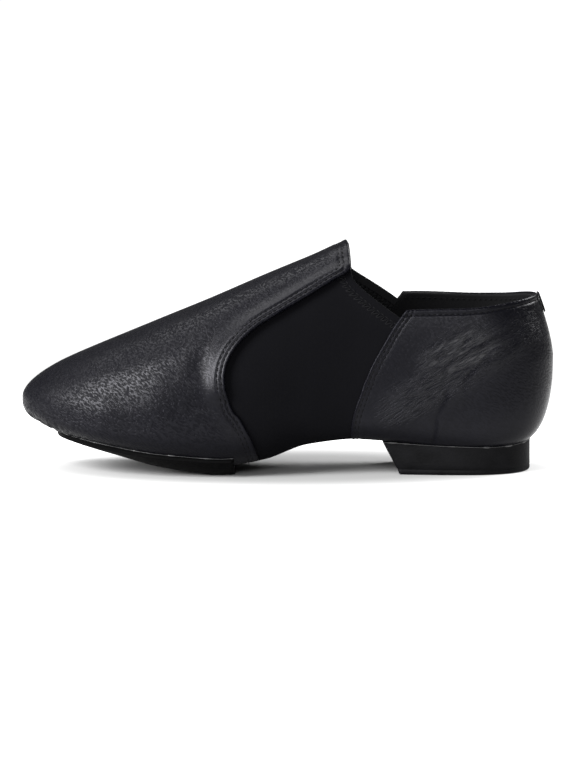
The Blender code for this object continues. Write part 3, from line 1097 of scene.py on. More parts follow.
@dataclass(frozen=True)
class StretchFinish:
    """Matte black stretch fabric with a fine knit.

    unit_wave is the length of the Wave texture's wave at a scale of 1.
    """

    name: str = "black_stretch_fabric"
    dark: Colour = (0.0014, 0.0014, 0.0019)
    light: Colour = (0.0022, 0.0022, 0.0029)
    rib: float = 0.6
    slack: float = 0.6
    knit_share: float = 0.7
    knit_depth: float = 0.05
    fuzz_size: float = 0.4
    cloud_size: float = 18.0
    cloud_share: float = 0.6
    roughness: float = 0.95
    gloss: float = 0.05
    unit_wave: ClassVar[float] = 0.314

    def build(self) -> bpy.types.Material:
        """Makes the material: fine waves across each other with a little noise."""
        tree = Tree(self.name)
        scale = self.unit_wave / (self.rib * MM)
        sockets = {"Vector": tree.place(), "Scale": scale, "Distortion": self.slack}
        warp = tree.node("ShaderNodeTexWave", {"bands_direction": "X"}, sockets, "Fac")
        weft = tree.node("ShaderNodeTexWave", {"bands_direction": "Z"}, sockets, "Fac")
        knit = warp * 0.5 + weft * 0.5
        tone = tree.noise(self.cloud_size) * self.cloud_share + knit * (1.0 - self.cloud_share)
        relief = knit * self.knit_share + tree.noise(self.fuzz_size) * (1.0 - self.knit_share)
        tree.set(
            Base_Color=tree.blend(tone, self.dark, self.light),
            Roughness=self.roughness,
            Normal=tree.bump(relief, self.knit_depth),
            Specular_IOR_Level=self.gloss,
        )
        return tree.material


@dataclass(frozen=True)
class RubberFinish:
    """Matte black rubber with a fine moulded texture."""

    name: str = "black_rubber"
    dark: Colour = (0.0013, 0.0013, 0.0016)
    light: Colour = (0.0028, 0.0028, 0.0033)
    gloss: float = 0.07
    roughness: float = 0.6
    dust_size: float = 7.0
    dust_step: Pair = (0.3, 0.7)
    dust_rough: float = 0.3
    texture_size: float = 0.9
    texture_depth: float = 0.22

    def build(self) -> bpy.types.Material:
        """Makes the material: fine noise for the texture and cloudy dust."""
        tree = Tree(self.name)
        dust = tree.noise(self.dust_size, 5.0)
        tree.set(
            Base_Color=tree.blend(dust.step(*self.dust_step), self.dark, self.light),
            Roughness=self.roughness + (dust - 0.5) * self.dust_rough,
            Normal=tree.bump(tree.noise(self.texture_size, 4.0), self.texture_depth),
            Specular_IOR_Level=self.gloss,
        )
        return tree.material


@dataclass(frozen=True)
class ThreadFinish:
    """Twisted thread."""

    name: str = "black_thread"
    colour: Colour = (0.0025, 0.0025, 0.0028)
    twist_size: float = 0.2
    twist_depth: float = 0.04
    twist_rough: float = 0.2
    roughness: float = 0.7
    gloss: float = 0.06

    def build(self) -> bpy.types.Material:
        """Makes the material: fine noise stands for the twist."""
        tree = Tree(self.name)
        twist = tree.noise(self.twist_size)
        tree.set(
            Base_Color=(*self.colour, 1.0),
            Roughness=self.roughness + twist * self.twist_rough,
            Normal=tree.bump(twist, self.twist_depth),
            Specular_IOR_Level=self.gloss,
        )
        return tree.material


@dataclass(frozen=True)
class LiningFinish:
    """Soft cloth or smooth leather inside the shoe."""

    name: str = "black_lining"
    dark: Colour = (0.006, 0.006, 0.0065)
    light: Colour = (0.011, 0.011, 0.012)
    roughness: float = 0.9
    gloss: float = 0.15
    fuzz_size: float = 0.6
    fuzz_depth: float = 0.12

    def build(self) -> bpy.types.Material:
        """Makes the material: short fuzzy noise."""
        tree = Tree(self.name)
        fuzz = tree.noise(self.fuzz_size, 4.0)
        tree.set(
            Base_Color=tree.blend(fuzz, self.dark, self.light),
            Roughness=self.roughness,
            Normal=tree.bump(fuzz, self.fuzz_depth),
            Specular_IOR_Level=self.gloss,
        )
        return tree.material


@dataclass(frozen=True)
class CementFinish:
    """Dried sole cement, dark and glossy."""

    name: str = "dried_cement"
    colour: Colour = (0.03, 0.03, 0.031)
    lump_size: float = 1.5
    lump_depth: float = 0.2
    lump_rough: float = 0.4
    roughness: float = 0.2
    gloss: float = 0.5

    def build(self) -> bpy.types.Material:
        """Makes the material: uneven gloss."""
        tree = Tree(self.name)
        lumps = tree.noise(self.lump_size, 3.0)
        tree.set(
            Base_Color=(*self.colour, 1.0),
            Roughness=self.roughness + lumps * self.lump_rough,
            Normal=tree.bump(lumps, self.lump_depth),
            Specular_IOR_Level=self.gloss,
        )
        return tree.material


@dataclass(frozen=True)
class FloorFinish:
    """Pale floor with painted light: a glow and a paler colour, set by the distance from the shoe.

    There is no glow under the shoe, which leaves painted shade there. The glow is strongest right round the
    shoe, as painted fill light that lifts the shoe's shadows. It is weaker beyond that, and stronger again
    far away, where it keeps the floor evenly white. Near the shoe the colour is paler, a painted pool of
    light that the leather reflects. Distances are in metres.
    """

    name: str = "pale_floor"
    near_colour_painted_light: Colour = (0.34, 0.34, 0.34)
    far_colour: Colour = (0.25, 0.25, 0.25)
    near: Pair = (0.035, 0.09)
    near_glow_painted_fill: float = 1.2
    middle: Pair = (0.15, 0.35)
    middle_glow_painted_fill: float = 0.3
    far: Pair = (0.3, 0.9)
    far_glow: float = 1.0
    length_share: float = 0.5
    roughness: float = 0.9
    gloss: float = 0.1

    def build(self) -> bpy.types.Material:
        """Makes the material: matt, with painted light set by the distance from the shoe: a paler colour and
        a glow round it, and no glow under it.
        """
        tree = Tree(self.name)
        oval = {0: tree.place(), 1: (self.length_share, 1.0, 1.0)}
        place = tree.node("ShaderNodeVectorMath", {"operation": "MULTIPLY"}, oval, "Vector")
        distance = tree.node("ShaderNodeVectorMath", {"operation": "LENGTH"}, {0: place}, "Value")
        middle = distance.step(*self.middle)
        # Painted light: no glow under the shoe (painted shade), a strong glow right round it (painted fill
        # light), less beyond, and an even glow far away.
        glow = distance.step(*self.near) * self.near_glow_painted_fill
        glow = glow + middle * (self.middle_glow_painted_fill - self.near_glow_painted_fill)
        glow = glow + distance.step(*self.far) * (self.far_glow - self.middle_glow_painted_fill)
        # Painted light: the floor's colour is paler near the shoe, a painted pool of light.
        tree.set(
            Base_Color=tree.blend(middle, self.near_colour_painted_light, self.far_colour),
            Roughness=self.roughness,
            Specular_IOR_Level=self.gloss,
            Emission_Color=glow,
            Emission_Strength=1.0,
        )
        return tree.material


PAD_RUBBER = RubberFinish(
    "black_pad_rubber", dark=(0.0003, 0.0003, 0.0004), light=(0.0008, 0.0008, 0.0009), gloss=0.035
)
HEM_THREAD = ThreadFinish("hem_thread", (0.0042, 0.0042, 0.0048))
COLLAR_LINING = LiningFinish(
    "collar_lining", dark=(0.002, 0.002, 0.0023), light=(0.005, 0.005, 0.0056), roughness=0.8, gloss=0.1
)


@dataclass
class Finishes:
    """The materials of the shoe."""

    leather: bpy.types.Material = field(default_factory=LeatherFinish().build)
    stretch: bpy.types.Material = field(default_factory=StretchFinish().build)
    rubber: bpy.types.Material = field(default_factory=RubberFinish().build)
    pad: bpy.types.Material = field(default_factory=PAD_RUBBER.build)
    thread: bpy.types.Material = field(default_factory=ThreadFinish().build)
    hem: bpy.types.Material = field(default_factory=HEM_THREAD.build)
    lining: bpy.types.Material = field(default_factory=LiningFinish().build)
    cement: bpy.types.Material = field(default_factory=CementFinish().build)
    collar: bpy.types.Material = field(default_factory=COLLAR_LINING.build)


def new_piece(
    name: str,
    points: FloatArray,
    faces: IntArray,
    materials: Sequence[bpy.types.Material],
    slot: Slot,
    numbers: dict[str, FloatArray] | None = None,
    slots: IntArray | None = None,
) -> bpy.types.Object:
    """Makes a piece that rides on the shoe.

    Args:
        name: the piece's name.
        points: its points in millimetres.
        faces: its four-cornered faces.
        materials: its materials.
        slot: its slot in the record; not used.
        numbers: values to keep on its points, by name.
        slots: which of the materials each face has, the first one if it is left out.

    Returns:
        The object, at the origin.
    """
    mesh = bpy.data.meshes.new(name)
    mesh.from_pydata(points * MM, [], faces)
    mesh.update()
    mesh.shade_smooth()
    for material in materials:
        mesh.materials.append(material)
    if slots is not None:
        mesh.polygons.foreach_set("material_index", slots.astype(np.int32))
    for key, values in (numbers or {}).items():
        mesh.attributes.new(key, "FLOAT", "POINT").data.foreach_set("value", values.astype(np.float32))
    piece = bpy.data.objects.new(name, mesh)
    bpy.context.scene.collection.objects.link(piece)
    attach(piece, BODY)
    log.info("%s: %d faces", name, len(faces))
    return piece


def leather_piece(
    name: str, wall: Wall, finishes: Finishes, grain: FloatArray, wrinkle: FloatArray, dull: FloatArray
) -> bpy.types.Object:
    """Makes a leather piece with the numbers that its finish reads.

    Args:
        name: the piece's name.
        wall: its points and faces.
        finishes: the materials.
        grain: strength of the pebbles, at each point of the surface that the wall was made from.
        wrinkle: strength of the fine folds there.
        dull: 1 there at a cut edge and in a sharp crease.

    Returns:
        The object, at the origin.
    """
    numbers = {"grain": grain, "wrinkle": wrinkle, "dull": dull}
    kept = {key: values[wall.source] for key, values in numbers.items()}
    return new_piece(name, wall.points, wall.faces, [finishes.leather], Slot.LEATHER, kept)


def tubes(
    paths: FloatArray, sides: FloatArray, ups: FloatArray, girths: FloatArray, corners: int
) -> tuple[FloatArray, IntArray]:
    """Closed tubes of many short paths: rings of points round each path, and a cap at each end.

    Args:
        paths: middle points, by tube and place.
        sides: unit vectors across each path, by tube and place.
        ups: unit vectors over each path, by tube and place.
        girths: radii, by tube and place.
        corners: points of a ring, an even number.

    Returns:
        Points and four-cornered faces.
    """
    angle = np.linspace(0.0, 2.0 * np.pi, corners, endpoint=False)[:, None]
    ring = np.cos(angle) * sides[:, :, None] + np.sin(angle) * ups[:, :, None]
    points = paths[:, :, None] + girths[:, :, None, None] * ring
    index = np.arange(points[..., 0].size).reshape(points.shape[:3])
    turned = np.roll(index, -1, axis=2)
    walls = (index[:, :-1], turned[:, :-1], turned[:, 1:], index[:, 1:])
    faces = [np.stack([part.reshape(-1) for part in walls], axis=1)]
    for cap in (index[:, 0, ::-1], index[:, -1]):
        faces += [cap[:, [0, k, k + 1, k + 2]] for k in range(1, corners - 2, 2)]
    return points.reshape(-1, 3), np.concatenate(faces)


@dataclass
class Threads:
    """Many short stitches joined in one piece: each is a bowed tube between two points."""

    radius: float = 0.3
    lift: float = 0.05
    dive: float = 2.2
    taper: float = 0.92
    rings: int = 5
    corners: int = 6

    def build(self, name: str, rows: Sequence[StitchRow], finish: bpy.types.Material) -> None:
        """Makes the piece.

        Along each stitch the middle line rises over the surface as 1 - dive q^2 and the radius shrinks
        as the root of 1 - (taper q)^2, with q from -1 to 1.

        Args:
            name: the piece's name.
            rows: starts, ends and surface normals of the stitches, row by row.
            finish: the thread's material.
        """
        starts, ends, normals = map(np.concatenate, zip(*rows))
        q = np.linspace(-1.0, 1.0, self.rings)[:, None]
        half = ((ends - starts) / 2.0)[:, None]
        up = np.broadcast_to(normals[:, None], (len(starts), self.rings, 3))
        side = np.broadcast_to(unit(np.cross(half, normals[:, None])), up.shape)
        path = ((starts + ends) / 2.0)[:, None] + half * q + up * (self.lift * (1.0 - self.dive * q**2))
        girth = np.broadcast_to(self.radius * np.sqrt(1.0 - (self.taper * q[:, 0]) ** 2), up.shape[:2])
        points, faces = tubes(path, side, up, girth, self.corners)
        new_piece(name, points, faces, [finish], Slot.LEATHER)


@dataclass
class Seams:
    """The rows of stitches along the panels' edges."""

    pattern: Pattern
    pitch: float = 2.75
    stitch_share: float = 0.72
    vamp_rows: Pair = (1.5, 3.4)
    vamp_spread: float = 1.1
    spread_levels: Pair = (0.14, 0.36)
    tongue_rows: Pair = (3.0, 4.9)
    counter_rows: Pair = (1.5, 3.2)
    collar_rows: tuple[float, ...] = (2.3,)
    corner_gap: float = 1.5
    lowest: float = 0.11
    highest: float = 0.999
    hem_rows: Pair = (3.2, 6.6)
    hem_pitch: float = 2.3
    hem_depth: float = 1.05
    inner_depth: float = 3.15
    lining_depth: float = 3.35

    def vamp_gap(self, row: float, level: FloatArray) -> FloatArray:
        """Distance of a row from the vamp's edge, which grows towards the sole."""
        return row + self.vamp_spread * (1.0 - ease(level, *self.spread_levels))

    def vamp_ends(self) -> tuple[FloatArray, FloatArray]:
        """Points along the vamp's two lower edges, and along the rear end of its tongue."""
        corner = self.pattern.corner
        lines = [self.pattern.vamp_line(side) for side in Side]
        low = self.pattern.dots([line.keep(line.level <= corner) for line in lines])
        return low, self.pattern.dots([line.keep(line.level >= corner) for line in lines])

    def vamp_seams(self, side: Side) -> list[Line]:
        """The rows along the vamp's edge on one side, mitred at the tongue's corner."""
        last = self.pattern.last
        line = self.pattern.vamp_line(side)
        low = line.keep(line.level <= self.pattern.corner)
        rear = line.keep(line.level >= self.pattern.corner)
        low_edge, rear_edge = self.vamp_ends()
        found: list[Line] = []
        for row, end in zip(self.vamp_rows, self.tongue_rows):
            beside = last.beside(low, -side.value * self.vamp_gap(row, low.level))
            away = nearest(last.points(beside), rear_edge)
            found.append(beside.keep((away > end) & (beside.level > self.lowest)))
            beside = last.beside(rear, -side.value * end)
            away = nearest(last.points(beside), low_edge)
            found.append(beside.keep((away > row) & (beside.level < self.highest)))
        return found

    def counter_seams(self, side: Side) -> list[Line]:
        """The rows along the counter's front edge and its collar on one side."""
        last = self.pattern.last
        front = self.pattern.counter_line(side)
        collar = self.pattern.collar_line(side)
        found: list[Line] = []
        for line, rows, other in ((front, self.counter_rows, collar), (collar, self.collar_rows, front)):
            for row in rows:
                beside = last.beside(line, side.value * row)
                away = nearest(last.points(beside), last.points(other))
                found.append(beside.keep((away > self.corner_gap) & (beside.level > self.lowest)))
        return found

    def dashes(self, points: FloatArray) -> tuple[FloatArray, FloatArray]:
        """Starts and ends of the stitches of a row, with a short gap at each of its points."""
        step = np.diff(points, axis=0) * (1.0 - self.stitch_share) / 2.0
        return points[:-1] + step, points[1:] - step

    def on_wall(self, line: Line, depth: float, inward: bool) -> tuple[FloatArray, FloatArray]:
        """Points at a depth under a line, and the normals away from the wall there.

        Args:
            line: the line.
            depth: depth of the wall's face.
            inward: whether the face looks into the shoe.

        Returns:
            Points and normals.
        """
        points, normals = self.pattern.last.place(line)
        return points - depth * normals, -normals if inward else normals

    def build(self, finishes: Finishes, vamp: Vamp, counter: HeelCounter) -> None:
        """Makes the stitches on the leather, which lie in the leather's grooves.

        Args:
            finishes: the materials.
            vamp: gives the leather's height under the rows in front.
            counter: gives the leather's height under the rows at the back.
        """
        last = self.pattern.last
        found: list[StitchRow] = []
        for panel, seams in ((vamp, self.vamp_seams), (counter, self.counter_seams)):
            for line in (last.paced(line, self.pitch) for side in Side for line in seams(side)):
                points, normals = last.place(line)
                height = panel.shape(Spots(points, line.along, line.level, line.side))
                points = points + normals * height[:, None]
                found.append((*self.dashes(points), unit(normals[:-1] + normals[1:])))
        Threads().build("leather_stitches", found, finishes.thread)

    def build_hems(self, finishes: Finishes) -> None:
        """Makes the zigzag over each gusset's hem, outside and inside, and the row inside the collar."""
        last = self.pattern.last
        found: list[StitchRow] = []
        for side in Side:
            line = self.pattern.gusset_line(side)
            rows = [last.beside(line, side.value * row) for row in self.hem_rows]
            count = round(float(last.run(line)[-1]) / self.hem_pitch)
            for depth, inward in ((self.hem_depth, False), (self.inner_depth, True)):
                walls = [self.on_wall(last.counted(row, count), depth, inward) for row in rows]
                (high, ups), (low, _) = walls
                runs = ((high[:-1], low[:-1]), (low[:-1], high[1:]), (high[:-1], high[1:]))
                found += [(start, end, ups[:-1]) for start, end in runs]
            row = last.beside(self.pattern.collar_line(side), side.value * self.collar_rows[0])
            points, normals = self.on_wall(last.paced(row, self.pitch), self.lining_depth, True)
            found.append((*self.dashes(points), normals[:-1]))
        Threads(radius=0.28, lift=0.16).build("hem_stitches", found, finishes.hem)


VAMP_CREASES = (
    Crease((156.0, 34.0), (176.0, 30.0), -0.55, 2.8, 1.5),
    Crease((158.0, 41.0), (176.0, 46.0), 0.30, 3.5, 1.0),
    Crease((168.0, 22.0), (215.0, 24.0), -0.25, 4.0, 2.0),
    Crease((112.0, 88.0), (150.0, 74.0), -0.25, 4.0, 1.5),
    Crease((170.0, 55.0), (205.0, 42.0), 0.20, 6.0, 2.0),
)
COUNTER_CREASES = (
    Crease((86.0, 22.0), (10.0, 66.0), 1.3, 7.0, -1.0),
    Crease((66.0, 47.0), (36.0, 62.0), 0.5, 5.0, 0.0),
    Crease((79.0, 30.5), (40.0, 50.5), -0.30, 1.5, 0.8),
    Crease((74.0, 36.0), (12.0, 72.0), -0.35, 1.6, -1.5),
    Crease((66.0, 43.5), (20.0, 70.0), 0.30, 2.2, -1.0),
    Crease((60.0, 53.0), (36.0, 65.0), -0.28, 1.4, 0.6),
    Crease((62.0, 58.5), (40.0, 69.0), -0.22, 1.3, 0.5),
    Crease((80.0, 26.0), (56.0, 33.5), -0.25, 1.4, 0.5),
    Crease((50.0, 44.0), (14.0, 62.0), 0.35, 4.5, -1.5),
    Crease((76.0, 33.0), (50.0, 47.0), 0.25, 2.0, 0.5),
)
STIFFENER_LINE = (
    Crease((57.3, 14.0), (55.6, 29.0), -0.5, 0.9, 0.6),
    Crease((55.6, 28.0), (46.0, 43.0), -0.5, 0.9, -0.8),
    Crease((46.5, 42.0), (33.0, 54.0), -0.4, 0.9, -0.5),
)
WRINKLE_BANDS = (
    Crease((82.0, 26.0), (10.0, 72.0), 1.0, 8.0, -1.0),
    Crease((64.0, 52.0), (36.0, 68.0), 0.8, 6.0, 0.0),
)
DULL_EDGE = (0.3, 1.0)


@dataclass
class Vamp:
    """Leather over the toes and the instep, up to the end of the tongue."""

    pattern: Pattern
    seams: Seams
    thickness: float = 1.0
    bulge: float = 0.3
    edge_round: float = 0.35
    groove: float = 0.36
    groove_width: float = 0.55
    sway: float = 0.18
    sway_length: float = 55.0
    sway_seed: int = 3
    flare: float = 2.3
    flare_flat: float = 1.5
    flare_width: float = 10.5
    flare_low: Pair = (0.34, 0.385)
    flare_high: Pair = (0.70, 0.80)
    trough_at: float = 13.0
    trough_width: float = 3.5
    trough: float = 0.5
    gather: float = 0.45
    gather_paces: Triple = (2.1, 0.37, 3.7)
    gather_sway: float = 1.4
    gather_fine: float = 0.5
    gather_levels: Pair = (0.10, 0.26)
    gather_reach: Pair = (0.16, 0.30)
    low_grain: float = 0.3
    grain_levels: Pair = (0.14, 0.33)
    edge_grain: float = 0.25
    grain_gaps: Pair = (6.0, 13.0)
    columns: int = 96
    edge_columns: int = 18
    edge_share: float = 0.05
    edge_crowding: float = 1.3
    fine: int = 7

    def shape(self, spots: Spots) -> FloatArray:
        """Height of the leather over the last.

        It sums the seams' grooves, the flare and the trough that run along the edge, the rounded edge,
        the creases and the gathers under the toe.

        Args:
            spots: places on the vamp.

        Returns:
            The height at each place.
        """
        gap, rear = (nearest(spots.points, edge) for edge in self.seams.vamp_ends())
        height = self.sway * ripple(spots.points, self.sway_length, self.sway_seed)
        for row, end in zip(self.seams.vamp_rows, self.seams.tongue_rows):
            place = self.seams.vamp_gap(row, spots.level)
            groove = hump(gap, place, self.groove_width) * (rear > end)
            groove = np.maximum(groove, hump(rear, end, self.groove_width) * (gap > place))
            height -= self.groove * groove
        side = ease(spots.level, *self.flare_low) * (1.0 - ease(spots.level, *self.flare_high))
        height += self.flare * (1.0 - ease(gap, self.flare_flat, self.flare_width)) * side
        height -= self.trough * hump(gap, self.trough_at, self.trough_width) * side
        height -= edge_drop(np.minimum(gap, rear), self.edge_round)
        return height + creased(VAMP_CREASES, spots) + self.gathers(spots)

    def gathers(self, spots: Spots) -> FloatArray:
        """Pleats under the toe, where the leather is drawn in.

        They are broad waves round the outline whose pace sways, with finer ones added, and fade upward.

        Args:
            spots: places on the vamp.

        Returns:
            The height at each place.
        """
        turn = spots.along * self.pattern.last.length * spots.side
        broad, slow, fine = (turn * pace for pace in self.gather_paces)
        wave = np.sin(broad + self.gather_sway * np.sin(slow)) + self.gather_fine * np.sin(fine + 1.0)
        fade = (1.0 - ease(spots.level, *self.gather_levels)) * (1.0 - ease(spots.along, *self.gather_reach))
        return self.gather * wave * fade

    def build(self, finishes: Finishes) -> None:
        """Makes the vamp, with columns that crowd towards its edge."""
        crowd = np.linspace(0.0, 1.0, self.edge_columns + 1) ** self.edge_crowding
        even = np.linspace(0.0, 1.0 - self.edge_share, self.columns + 1)
        columns = np.unique(np.round(np.concatenate((even, 1.0 - self.edge_share * crowd)), 7))
        skin = Skin(self.pattern.last, [self.pattern.vamp(columns, self.fine)])
        gap = nearest(skin.points, self.pattern.both(self.pattern.vamp_line))
        grain = self.low_grain + (1.0 - self.low_grain) * ease(skin.spots.level, *self.grain_levels)
        grain *= self.edge_grain + (1.0 - self.edge_grain) * ease(gap, *self.grain_gaps)
        dull = 1.0 - ease(gap, *DULL_EDGE)
        height = self.shape(skin.spots)
        skin.raise_by(height)
        wall = skin.wall(0.0, self.thickness + np.maximum(height, 0.0), self.bulge)
        piece = leather_piece("vamp_leather", wall, finishes, grain, np.zeros_like(grain), dull)
        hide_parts("vamp")


@dataclass
class HeelCounter:
    """Leather round the heel, up to the collar."""

    pattern: Pattern
    seams: Seams
    thickness: float = 1.0
    bulge: float = 0.3
    edge_round: float = 0.35
    groove: float = 0.4
    groove_width: float = 0.55
    sway: float = 0.15
    sway_length: float = 48.0
    sway_seed: int = 8
    calm_gaps: Pair = (3.0, 8.0)
    low_grain: float = 0.1
    high_grain: float = 0.35
    grain_heights: Pair = (20.0, 50.0)
    fold_grain: float = 0.5
    columns: int = 136
    edge_columns: int = 16
    edge_share: float = 0.06
    fine: int = 8

    def gaps(self, points: FloatArray) -> tuple[FloatArray, FloatArray]:
        """Distances of points from the counter's front edges and from its collar."""
        front = nearest(points, self.pattern.both(self.pattern.counter_line))
        return front, nearest(points, self.pattern.both(self.pattern.collar_line))

    def shape(self, spots: Spots) -> FloatArray:
        """Height of the leather over the last: seams, rounded edges and creases.

        Args:
            spots: places on the counter.

        Returns:
            The height at each place.
        """
        front, collar = self.gaps(spots.points)
        height = self.sway * ripple(spots.points, self.sway_length, self.sway_seed)
        for gap, rows in ((front, self.seams.counter_rows), (collar, self.seams.collar_rows)):
            for row in rows:
                height -= self.groove * hump(gap, row, self.groove_width)
        gap = np.minimum(front, collar)
        height -= edge_drop(gap, self.edge_round)
        return height + creased((*COUNTER_CREASES, *STIFFENER_LINE), spots) * ease(gap, *self.calm_gaps)

    def dulled(self, spots: Spots) -> FloatArray:
        """How dull the leather is: 1 at its cut edges and along the line of the stiffener."""
        edge = 1.0 - ease(np.minimum(*self.gaps(spots.points)), *DULL_EDGE)
        return np.max([edge, *(crease.height(spots) / crease.rise for crease in STIFFENER_LINE)], axis=0)

    def build(self, finishes: Finishes) -> None:
        """Makes the counter, with columns that crowd towards its front edges."""
        close = np.linspace(0.0, self.edge_share, self.edge_columns + 1)
        part = np.concatenate((close, np.linspace(self.edge_share, 1.0, self.columns + 1)[1:]))
        skin = Skin(self.pattern.last, [self.pattern.counter(part, self.fine, 0.0)])
        wrinkle = np.clip(creased(WRINKLE_BANDS, skin.spots), 0.0, 1.0)
        dull = self.dulled(skin.spots)
        rise = ease(skin.points[:, 2], *self.grain_heights)
        grain = self.low_grain + (self.high_grain - self.low_grain) * rise
        grain *= 1.0 - self.fold_grain * wrinkle
        skin.raise_by(self.shape(skin.spots))
        wall = skin.wall(0.0, self.thickness, self.bulge)
        piece = leather_piece("counter_leather", wall, finishes, grain, wrinkle, dull)
        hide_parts("heel_counter")


@dataclass
class StretchUpper:
    """The hollow stretch body of the shoe, which shows at the sides, under the arch and inside.

    The net under the arch runs on under one part in arch_part of the vamp's and the counter's columns.
    """

    pattern: Pattern
    depth: float = 1.3
    thickness: float = 1.5
    bulge: float = 0.4
    hem_edge: Pair = (6.8, 8.2)
    hem_height: float = 0.35
    vamp_columns: int = 42
    gusset_columns: int = 36
    counter_columns: int = 36
    fine: int = 6
    arch_part: int = 6
    arch_fine: int = 4

    def arch(self) -> Net:
        """Net under the arch, whose columns match those of the panels beside it."""
        pattern = self.pattern
        vamp_end = float(pattern.vamp_along(pattern.margin))
        counter_end = float(pattern.counter_along(0.0))
        vamp = vamp_end * np.linspace(0.0, 1.0, self.vamp_columns + 1)
        gusset = np.linspace(vamp_end, counter_end, self.gusset_columns + 1)
        counter = np.linspace(counter_end, 1.0, self.counter_columns + 1)
        before = vamp[-1 - self.vamp_columns // self.arch_part:-1]
        after = counter[1:1 + self.counter_columns // self.arch_part]
        return pattern.arch(before, gusset, after, self.arch_fine)

    def build(self, finishes: Finishes) -> None:
        """Makes the upper: one wall, lined inside, with a thicker hem along each gusset's top."""
        pattern = self.pattern
        nets = [pattern.vamp(np.linspace(0.0, 1.0, self.vamp_columns + 1), self.fine)]
        nets += [pattern.gusset(side, self.gusset_columns, self.fine) for side in Side]
        counter_net = len(nets)
        nets.append(pattern.counter(np.linspace(0.0, 1.0, self.counter_columns + 1), self.fine, 1.0))
        nets.append(self.arch())
        skin = Skin(pattern.last, nets)
        gap = nearest(skin.points, pattern.both(pattern.gusset_line))
        hem = self.hem_height * (1.0 - ease(gap, *self.hem_edge))
        skin.raise_by(hem)
        wall = skin.wall(self.depth, self.thickness + 2.0 * hem, self.bulge)
        net = np.concatenate((skin.net, skin.net, np.zeros(len(wall.kinds) - 2 * len(skin.net), int)))
        materials = [finishes.stretch, finishes.lining, finishes.collar]
        stretch, lining, collar = range(len(materials))
        inside = np.where(net == counter_net, collar, lining)
        slots = np.where(wall.kinds == Kind.INSIDE.value, inside, stretch)
        piece = new_piece("stretch_body", wall.points, wall.faces, materials, Slot.STRETCH, None, slots)
        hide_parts("upper")


@dataclass
class CounterLining:
    """Thin smooth lining inside the counter, up to the collar."""

    pattern: Pattern
    inner_depth: float = 3.35
    body_depth: float = 2.82
    leather_depth: float = 1.05
    step_levels: Pair = (-0.012, 0.0)
    bulge: float = 0.1
    columns: int = 48
    fine: int = 4

    def build(self, finishes: Finishes) -> None:
        """Makes the lining: it lies on the stretch body, and on the leather where the body stops short."""
        pattern = self.pattern
        skin = Skin(pattern.last, [pattern.counter(np.linspace(0.0, 1.0, self.columns + 1), self.fine, 0.0)])
        spots = skin.spots
        front = float(pattern.counter_along(1.0))
        part = np.clip((spots.along - front) / (1.0 - front), 0.0, 1.0)
        outer, inner = (pattern.collar(spots.along, side) - pattern.dipped(side, part) for side in Side)
        over = ease(spots.level - np.where(spots.side < 0.0, outer, inner), *self.step_levels)
        near = self.body_depth + (self.leather_depth - self.body_depth) * over
        wall = skin.wall(near, self.inner_depth - near, self.bulge)
        new_piece("counter_lining", wall.points, wall.faces, [finishes.collar], Slot.INSOLE)


@dataclass
class BackTab:
    """Short tape over the top of the back seam."""

    pattern: Pattern
    station: float = 0.4
    level_drop: float = 0.06
    gap: float = 0.3
    thickness: float = 0.7
    bulge: float = 0.25
    grain: float = 0.5
    columns: int = 10
    rows: int = 20

    def build(self, finishes: Finishes) -> None:
        """Makes the tape."""
        last = self.pattern.last
        shares = np.linspace(-1.0, 1.0, 2 * self.columns + 1)
        along = 1.0 - np.abs(shares) * (1.0 - float(last.along(self.station)))
        top = float(self.pattern.collar(np.array(1.0), Side.OUTER))
        level = np.linspace(top - self.level_drop, top, self.rows + 1)[:, None]
        net = Net(*np.broadcast_arrays(along, level, np.where(shares < 0.0, -1.0, 1.0)))
        skin = Skin(last, [net])
        wall = skin.wall(-self.gap - self.thickness, self.thickness, self.bulge)
        none = np.zeros(len(skin.points))
        piece = leather_piece("back_seam_tape", wall, finishes, none + self.grain, none, none)
        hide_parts("back_tab")


PAD_INSET = Table(("station", "inset"), ((140.0, 6.0), (205.0, 6.6), (230.0, 7.5), (250.0, 16.0)))
HEEL_INSET = Table(("station", "inset"), ((0.0, 10.4), (20.0, 6.8), (45.0, 4.3), (90.0, 8.0)))


@dataclass
class ForefootPad:
    """Thin rubber pad under the ball and the toes, flat where it meets the floor."""

    pattern: Pattern
    rear: float = 149.5
    gap: float = 0.4
    thickness: float = 2.5
    undercut: float = 1.6
    undercut_run: float = 12.0
    side_shares: tuple[float, ...] = (0.03, 0.3, 0.6, 0.8)
    lip: float = 0.3
    columns: int = 90
    rows: int = 26

    def build(self, finishes: Finishes) -> None:
        """Makes the pad: its top follows the last, and its side leans in under a thin lip."""
        last = self.pattern.last
        stations = last.station(np.linspace(float(last.along(self.rear)), 0.0, self.columns + 1))
        skin = Skin(last, [self.pattern.sole(stations, PAD_INSET, self.rows)])
        top = skin.points + self.gap * skin.up
        bottom = top + self.thickness * skin.up
        bottom[:, 2] = np.maximum(bottom[:, 2], 0.0)
        rim = skin.points[np.unique(skin.rim())]
        spine = last.spine(last.station(skin.spots.along))
        middle = np.stack((last.length / 2.0 - spine, last.sections.read("swing", spine)), axis=1)
        out = np.zeros_like(top)
        out[:, :2] = unit(skin.points[:, :2] - middle)
        inward = self.undercut * (1.0 - ease(nearest(skin.points, rim), 0.0, self.undercut_run))
        bottom -= out * inward[:, None]
        rings = [bottom + (top - bottom) * share for share in self.side_shares]
        rings.append(rings[-1] + out * self.lip)
        wall = skin.close(bottom, top, rings)
        piece = new_piece("pad_rubber", wall.points, wall.faces, [finishes.pad], Slot.RUBBER)
        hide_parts("forefoot_sole")


